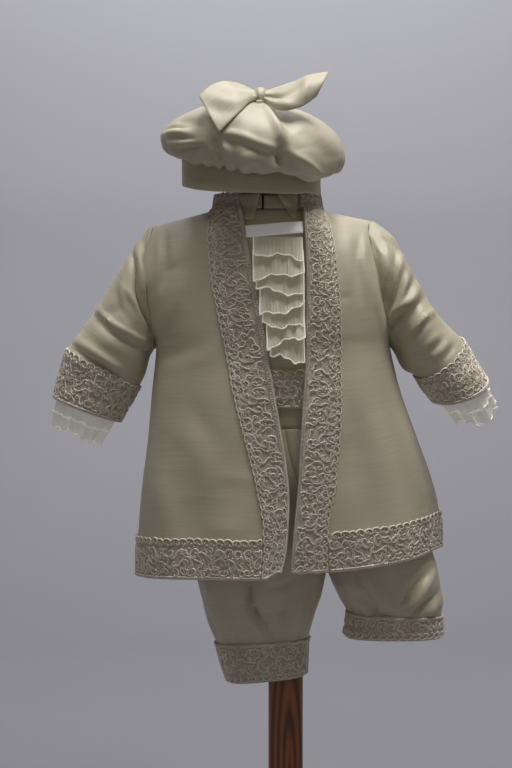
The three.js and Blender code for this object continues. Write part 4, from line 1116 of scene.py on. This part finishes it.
def jabot_frill(k, start, end, top, left, right, reach, phase):
    name = f"jabot_frill_{k}"
    rows = []
    across = np.linspace(0, 1, 101)
    crinkle = np.sin(2 * math.pi * 12.5 * across + 2 * phase)
    crinkle += 0.7 * np.sin(2 * math.pi * 20.3 * across + phase)
    crinkle += 0.9 * np.sin(2 * math.pi * 6.2 * across + 3 * phase)
    for share in np.linspace(1, 0, 17):
        wave = np.sin(2 * math.pi * 1.15 * across + phase)
        lobes = np.sin(2 * math.pi * 3.4 * across + 2 * phase)
        x = lerp(start, end, across) + 0.8 * share * np.sin(2 * math.pi * 3 * across + phase)
        z = lerp(top, lerp(left, right, across) - 2.6 * wave - 0.9 * lobes, share)
        stand = SILK / 2 + SEAM + ORGANZA_LOOK / 2 + 1.2 + share ** 1.2 * (reach + 2.2 * wave + 1.4 * lobes)
        stand = stand + 0.3 * crinkle * smooth(0, 0.12, share)
        y = [depth_at(shirt_front, px, pz) for px, pz in zip(x, z)]
        rows.append(np.stack([x, np.array(y) - stand, z], axis=1))
    grid = np.array(rows)
    normal = normals_of(grid)
    border = np.concatenate([grid[::-1, 0], grid[0, 1:-1], grid[:, -1]])
    around = np.concatenate([normal[::-1, 0], normal[0, 1:-1], normal[:, -1]])
    hem = edging(name + "_edge", [(border, around)], 0.75)
    cloth(name, grid, ORGANZA_LOOK, jabot_cloth, False)


for k, frill in enumerate(JABOT, 1):
    jabot_frill(k, *frill)

cloth("shirt_neckband", round_neck(NECKBAND, SHIRT_INSIDE, np.linspace(0, 1, 5)), SILK, shirt_silk)


def neck_depth(x):
    half, deep = NECK["halfWidth"] - SHIRT_INSIDE, NECK["front"] - SHIRT_INSIDE
    return -deep * math.sqrt(max(0, 1 - ((x - NECK["x"]) / half) ** 2))


for side, (top, bottom, top_z, bottom_z) in COLLAR_POINTS.items():
    rows = []
    for share in np.linspace(0, 1, 15):
        z = lerp(bottom_z, top_z, share)
        row = []
        for across in np.linspace(0, 1, 13):
            x = lerp(lerp(*bottom, across), lerp(*top, across), share)
            low = depth_at(shirt_front, x, min(z, NECK["z"] - SHIRT_INSIDE - 3))
            y = lerp(low, neck_depth(x), float(smooth(688, 696, z)))
            puff = math.sin(math.pi * across) * math.sin(math.pi * share)
            puff += 0.4 * math.sin(9 * share + 5 * across)
            row.append((x, y - 2.4 - puff, z))
        rows.append(row)
    cloth("shirt_collar_" + side, np.array(rows), SILK, shirt_silk)

rows = []
for share in np.linspace(0, 1, 9):
    row = []
    for across in np.linspace(0, 1, 61):
        x = lerp(TIE["start"], TIE["end"], across)
        z = TIE["z"] + TIE["slope"] * across + TIE["height"] * share
        fold = 1.7 * math.exp(-((across - 0.12 - 0.05 * share) / 0.045) ** 2)
        fold += 0.35 * math.sin(8 * across + 2 * share)
        row.append((x, depth_at(shirt_front, x, z) - 2.2 - 2.6 * (1 - share) - fold, z))
    rows.append(row)
cloth("neck_ribbon", np.array(rows), RIBBON, white_ribbon)


# ---- Breeches ----
LEG_STEP, LEG_ALONG = 3.2, 7


def leg_row(row, is_left, is_front):
    span = math.radians(row.get("span", 180))
    inset = -math.cos(span) * SILK / 2
    inner = row["right" if is_left else "left"]
    if "seam" in row:
        inner = row["seam"] + (-inset if is_left else inset)
    outer = row["left" if is_left else "right"]
    half = abs(outer - inner) / (1 - oval(span, row["power"])[0])
    centre = outer + (half if is_left else -half)
    middle = math.pi if is_left else 0
    ends = (middle, middle + span) if is_left == is_front else (middle - span, middle)
    line = []
    for angle in steps(*ends, LEG_CELLS):
        across, deep = oval(angle, row["power"])
        x = centre + half * across
        slope = row.get("slope", 0) * min(max((x - row["left"]) / (row["right"] - row["left"]), 0), 1)
        line.append((x, deep * row["front" if is_front else "back"], row["z"] + slope))
    return line


BREECHES_CREASES = [
    ([(-41, 322), (-36, 284), (-12, 246)], 3.6, -7.5), ([(-48, 320), (-42, 280), (-18, 247)], 5, 4.9),
    ([(-30, 322), (-25, 285), (-7, 250)], 9, 6.0), ([(8, 320), (2, 284), (-5, 250)], 4.5, -4.3),
    ([(20, 316), (14, 284), (2, 252)], 5, 4.1), ([(-80, 322), (-76, 286), (-64, 252)], 6, 4.3),
    ([(-66, 320), (-62, 284), (-50, 250)], 4, -3.5), ([(-92, 310), (-84, 280), (-72, 256)], 4, -3.0),
    ([(66, 330), (78, 300), (92, 277)], 4.5, -5.9), ([(56, 312), (70, 292), (84, 277)], 5, 4.3),
    ([(76, 326), (88, 302), (100, 280)], 4.5, 4.3), ([(92, 277), (104, 271), (117, 266)], 3, -4.9),
    ([(114, 265), (136, 291), (156, 323)], 5, 6.2), ([(122, 270), (142, 282), (162, 298)], 3.5, -5.1),
    ([(104, 320), (108, 298), (114, 278)], 4, -4.1), ([(132, 272), (148, 276), (162, 284)], 3.4, 3.2),
    ([(-22, 300), (-6, 302), (10, 310)], 3, -2.4), ([(-24, 279), (-10, 276), (4, 278)], 3, -2.2),
    ([(66, 299), (78, 288), (94, 274)], 3.4, -5.5),
    ([(118, 266), (120, 284), (134, 306), (154, 322)], 3.4, -4.6),
]


for name, leg_rows, is_left, top_of_lace in (("left", LEFT_LEG, True, 243), ("right", RIGHT_LEG, False, 272)):
    rows = leg_rows + SEAT_ROWS
    halves = []
    both = np.array([leg_row(row, is_left, True) + leg_row(row, is_left, False) for row in rows])
    centre = both[:, :, :2].mean(axis=(0, 1))
    for is_front in (True, False):
        seen = np.array([leg_row(row, is_left, True) for row in rows])
        grid, marks = refine(np.array([leg_row(row, is_left, is_front) for row in rows]), LEG_STEP, LEG_ALONG,
                             like=seen)
        angle = np.arctan2(grid[..., 1] - centre[1], grid[..., 0] - centre[0])
        above = grid[..., 2] - top_of_lace
        fade = smooth(42, 6, above) * smooth(-6, 4, above)
        tucks = 0.9 * fade * (np.sin(19 * angle + 1) + 0.6 * np.sin(31 * angle + 2.3))
        quiet = smooth(-7, 4, above)
        shaped = creased(grid, BREECHES_CREASES, 31, 60, 0.9, extra=tucks)
        halves.append(grid + (shaped - grid) * quiet[..., None])
    front, behind = halves
    cloth("breeches_front_" + name, drawn_in(front, **sewn), SILK, cream_silk)
    cloth("breeches_back_" + name, drawn_in(behind, **sewn), SILK, cream_silk)
    cuff = np.concatenate([front[:, :-1], behind[:, :-1]], axis=1)[:marks[LEG_LACE_ROWS - 1] + 1]
    lace("lace_leg_" + name, on_top(cuff, True), "columns", True, plain=1)


# ---- Cap ----
CAP_AROUND = 204


def cap_rings(table, up):
    angle = np.arange(CAP_AROUND) / CAP_AROUND * 2 * math.pi
    rows = []
    for reach, left, right, tip in hermite(np.array(table, float), [up] * (len(table) - 1)):
        scale = (CAP["halfWidth"] + reach) / CAP["halfWidth"]
        rows.append(np.stack([CAP["x"] + CAP["halfWidth"] * scale * np.cos(angle),
                              CAP["halfDepth"] * scale * np.sin(angle),
                              lerp(left, right, (1 + np.cos(angle)) / 2) + tip * np.sin(angle)], axis=1))
    return np.array(rows)


band = cap_rings(CAP_BAND, 7)
cap_angle = np.arange(CAP_AROUND) / CAP_AROUND * 2 * math.pi
band_wave = 0.5 * np.sin(5 * cap_angle + 1) + 0.3 * np.sin(13 * cap_angle)
low_edge = smooth(9, 0, np.arange(len(band)))[:, None]
dip = 4.5 * np.exp(-((band[..., 0] - 34) / 9) ** 2)
band[..., 2] -= low_edge * (2.6 * smooth(-30, -70, band[..., 1]) + dip)
facing = smooth(-10, -66, band[..., 1])
soft = 1.6 * np.sin(3 * cap_angle + 2.0) + 1.0 * np.sin(8 * cap_angle + 0.5)
band = moved(band, np.outer(smooth(-1, 12, np.arange(len(band))), band_wave) * 0.8
             + low_edge * (band_wave + facing * (5.2 + 0.5 * soft)) - (1 - low_edge) * facing * 0.8, True)
cloth("cap_band", band, SILK, cream_silk, True)

crown = cap_rings(CAP_CROWN, 9)
along = (np.arange(len(crown)) / 9)[:, None]
pleat_pitch = np.cumsum(1 + 0.35 * np.sin(3 * cap_angle + 1) + 0.25 * np.sin(7 * cap_angle + 2.5))
pleat_pitch *= 2 * math.pi * 27 / pleat_pitch[-1]
pleats = 0.5 + 0.5 * np.sin(pleat_pitch)
depth = 3.4 * smooth(0, 1.4, along) * smooth(5.6, 1.6, along) * (0.7 + 0.3 * np.sin(4 * cap_angle + 2))
strong = 1 + 0.8 * np.exp(-((cap_angle - 4.1) / 0.5) ** 2) + 0.7 * np.exp(-((cap_angle - 3.2) / 0.4) ** 2)
sag = 1.8 * np.sin(3 * cap_angle + 0.6) + 1.2 * np.sin(5 * cap_angle + 2.2)
out = -depth * strong * pleats ** 1.5 + smooth(1, 4, along) * smooth(8.5, 5, along) * sag
CAP_CREASES = [
    ([(-27, 803), (-17, 786), (-6, 762), (2, 748)], 4.6, 6.2), ([(-22, 800), (-4, 782), (12, 766)], 9, -5.5),
    ([(-30, 803), (-52, 780), (-67, 768)], 7, 4.0), ([(-44, 800), (-62, 786), (-76, 776)], 8, -4.5),
    ([(-72, 763), (-55, 762), (-30, 752), (-4, 745)], 4, 3.8),
    ([(-68, 756), (-45, 753), (-22, 744), (-8, 740)], 6, -3.6),
    ([(-9, 752), (-8, 741), (-7, 728)], 4.5, -8.5), ([(-40, 746), (-36, 736), (-32, 728)], 12, 3.5),
    ([(14, 750), (18, 738), (20, 726)], 12, 4.0), ([(4, 792), (36, 768), (56, 746)], 9, 3.4),
    ([(-2, 747), (18, 736), (37, 726)], 4, 3.2), ([(30, 762), (42, 752), (50, 742)], 9, -1.8),
    ([(-77, 765), (-73, 752), (-68, 738)], 3, -5.4), ([(-83, 762), (-80, 750), (-76, 742)], 3, 3.6),
    ([(-68, 763), (-64, 752), (-60, 742)], 3, 3.4), ([(-126, 772), (-112, 770), (-98, 766)], 2.6, 2.4),
    ([(-127, 778), (-112, 777), (-100, 773)], 2.4, -2.4), ([(-124, 765), (-110, 763), (-96, 760)], 2.4, -2.4),
    ([(-120, 759), (-106, 757), (-88, 756)], 2.6, 2.2), ([(-116, 784), (-100, 780), (-84, 772)], 6, -3.0),
    ([(-112, 752), (-96, 752), (-82, 750)], 3, -2.0),
]
side_drop = 7.5 * smooth(-62, -112, crown[..., 0]) * smooth(2.2, 5.5, along) * smooth(9, 7, along)
crown[..., 2] -= side_drop
front_drop = 6.5 * smooth(-20, -70, crown[..., 1]) * smooth(5, 2, along) * smooth(0, 0.8, along)
crown[..., 2] -= front_drop
crown = creased(crown, CAP_CREASES, 41, 55, 1.2, True, extra=out)
crown[-1] = crown[-2].mean(axis=0)
cloth("cap_crown", crown, SILK, cream_silk, True)

BOW_FOLDS = dict(
    left=[([(-88, 804), (-60, 797), (-42, 800)], 7, 2.6), ([(-80, 792), (-66, 786), (-52, 790)], 8, -2.0),
          ([(-60, 823), (-46, 815), (-33, 812)], 3.5, -3.0), ([(-70, 812), (-50, 808), (-32, 808)], 4, 1.6)],
    right=[([(-20, 805), (-6, 805), (10, 814), (16, 820)], 3.4, -4.2),
           ([(-18, 811), (-2, 815), (10, 824)], 4, 2.8), ([(20, 828), (19, 812), (16, 798)], 4, 1.8),
           ([(-12, 800), (4, 794), (16, 796)], 4, 1.6)])
for side, stations in BOW_ENDS.items():
    low = np.array([station[0] for station in stations], float)
    high = np.array([station[1] for station in stations], float)
    shares = np.linspace(0, 1, 17)
    rows = np.array([hermite(lerp(low, high, share), [8] * (len(low) - 1)) for share in shares])
    place = np.linspace(0, 1, rows.shape[1])
    puff = -5 * np.sin(np.pi * shares)[:, None]
    toward_knot = place if side == "left" else 1 - place
    folds = 1.3 * np.sin(2 * np.pi * (2.2 * shares[:, None] + 0.3)) * (toward_knot ** 2)
    rows[..., 1] += puff + folds
    forward = np.broadcast_to([0, -1.0, 0], rows.shape)
    depth = sum(crease(rows, forward, *fold) for fold in BOW_FOLDS[side])
    folded = rows + normals_of(rows) * depth[..., None]
    cloth("bow_end_" + side, folded, RIBBON, cream_silk)

knot_angle = np.arange(40) / 40 * 2 * math.pi
rows = []
for share in np.linspace(0, 1, 17):
    swell = (1.25 + 0.35 * math.sin(math.pi * share)) * (1 + 0.06 * np.sin(7 * knot_angle + 3 * share))
    rows.append(np.stack([KNOT["x"] + KNOT["halfWidth"] * swell * np.cos(knot_angle),
                          KNOT["y"] + KNOT["lean"] * share + KNOT["halfDepth"] * swell * np.sin(knot_angle),
                          np.full(len(knot_angle), KNOT["z"] + KNOT["height"] * share)], axis=1))
cloth("bow_knot", np.array(rows), RIBBON, cream_silk, True)


# ---- The stand ----
def stand_part(node, power, edge, count=96):
    """A closed wooden solid with softened ends, in its CAD solid's box. power 2 is round, 6 nearly square."""
    low, high = (np.array(corner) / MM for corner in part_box(node))
    x, half_width, half_depth = (low[0] + high[0]) / 2, (high[0] - low[0]) / 2, (high[1] - low[1]) / 2
    ease = [(0, 1), (0.15, 0.55), (0.5, 0.15), (1, 0)]
    levels = [(low[2] + rise * edge, inset * edge) for rise, inset in ease]
    levels += [(high[2] - rise * edge, inset * edge) for rise, inset in ease[::-1]]
    turns = [oval(angle, power) for angle in np.arange(count) / count * 2 * math.pi]
    rings = np.array([[(x + (half_width - inset) * across, (half_depth - inset) * deep, z)
                       for across, deep in turns] for z, inset in levels])
    verts = np.concatenate([rings.reshape(-1, 3), rings[0].mean(0)[None], rings[-1].mean(0)[None]])
    bottom, top = len(verts) - 2, len(verts) - 1
    last = bottom - count
    around = [(i, (i + 1) % count) for i in range(count)]
    faces = [(j + i, j + m, j + count + m, j + count + i) for j in range(0, last, count) for i, m in around]
    faces += [face for i, m in around for face in ((bottom, m, i), (top, last + i, last + m))]
    obj = make_object(node, verts, faces, [wood], sharp=40)
    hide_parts(node)


stand_part("stand_base", 2, 4, 160)
stand_part("stand_post", 6, 1.5, 120)
stand_part("stand_upper_post", 6, 1.5, 120)
stand_part("stand_neck", 2, 1.5)
stand_part("stand_head_block", 2, 2.5, 120)
for node in ("stand_waist_board", "stand_yoke"):
    obj = bpy.data.objects[node]
    for spot in obj.material_slots:
        spot.material = wood

# ---- The stage, the lights and the camera ----
WALL, COVE = 2.35, 0.9      # how far behind the suit the wall stands and the radius of its foot, in metres
grey = plaster("grey_wall", (0.42, 0.42, 0.455))
profile = [(-4.0, 0.0), (WALL - COVE, 0.0)]
profile += [(WALL - COVE + COVE * math.sin(a), COVE - COVE * math.cos(a))
            for a in np.linspace(0.1, math.pi / 2, 14)]
profile += [(WALL, 4.5)]
verts = [(x, y, z) for y, z in profile for x in (-5, 5)]
faces = [(2 * k, 2 * k + 1, 2 * k + 3, 2 * k + 2) for k in range(len(profile) - 1)]
mesh = bpy.data.meshes.new("backdrop")
mesh.from_pydata(verts, [], faces)
mesh.materials.append(grey)
mesh.shade_smooth()
backdrop = bpy.data.objects.new("backdrop", mesh)
bpy.context.scene.collection.objects.link(backdrop)


def area_light(name, where, towards, size, power, colour=(1, 1, 1)):
    light = bpy.data.lights.new(name, "AREA")
    light.energy, light.size, light.color = power, size, colour
    obj = bpy.data.objects.new(name, light)
    obj.location = where
    obj.rotation_euler = (Vector(towards) - Vector(where)).to_track_quat("-Z", "Y").to_euler()
    bpy.context.scene.collection.objects.link(obj)
    return obj


area_light("window_above", (0.5, -0.42, 2.85), (0, 0, 0.5), 1.1, 50, (1, 0.985, 0.95))
area_light("skylight", (-0.75, -0.45, 2.6), (-0.05, 0, 0.6), 0.7, 8, (0.97, 0.98, 1))
area_light("front_fill", (-0.6, -2.8, 1.0), (0, 0, 0.45), 1.6, 2.2, (1, 0.93, 0.82))
area_light("wall_wash", (0, 1.35, 2.9), (0, WALL, 1.75), 1.8, 50, (0.96, 0.965, 1))
world = bpy.data.worlds.new("room")
world.use_nodes = True
world.node_tree.nodes["Background"].inputs["Color"].default_value = (1.0, 0.9, 0.74, 1)
world.node_tree.nodes["Background"].inputs["Strength"].default_value = 0.085
bpy.context.scene.world = world
bpy.context.scene.view_settings.view_transform = "Standard"

camera = bpy.data.cameras.new("camera")
camera.lens, camera.sensor_width, camera.clip_end = 79.6, 36, 50
eye = bpy.data.objects.new("camera", camera)
eye.location = (-0.0313, -1.8, 0.512)
eye.rotation_euler = (math.pi / 2, 0, 0)
bpy.context.scene.collection.objects.link(eye)
bpy.context.scene.camera = eye
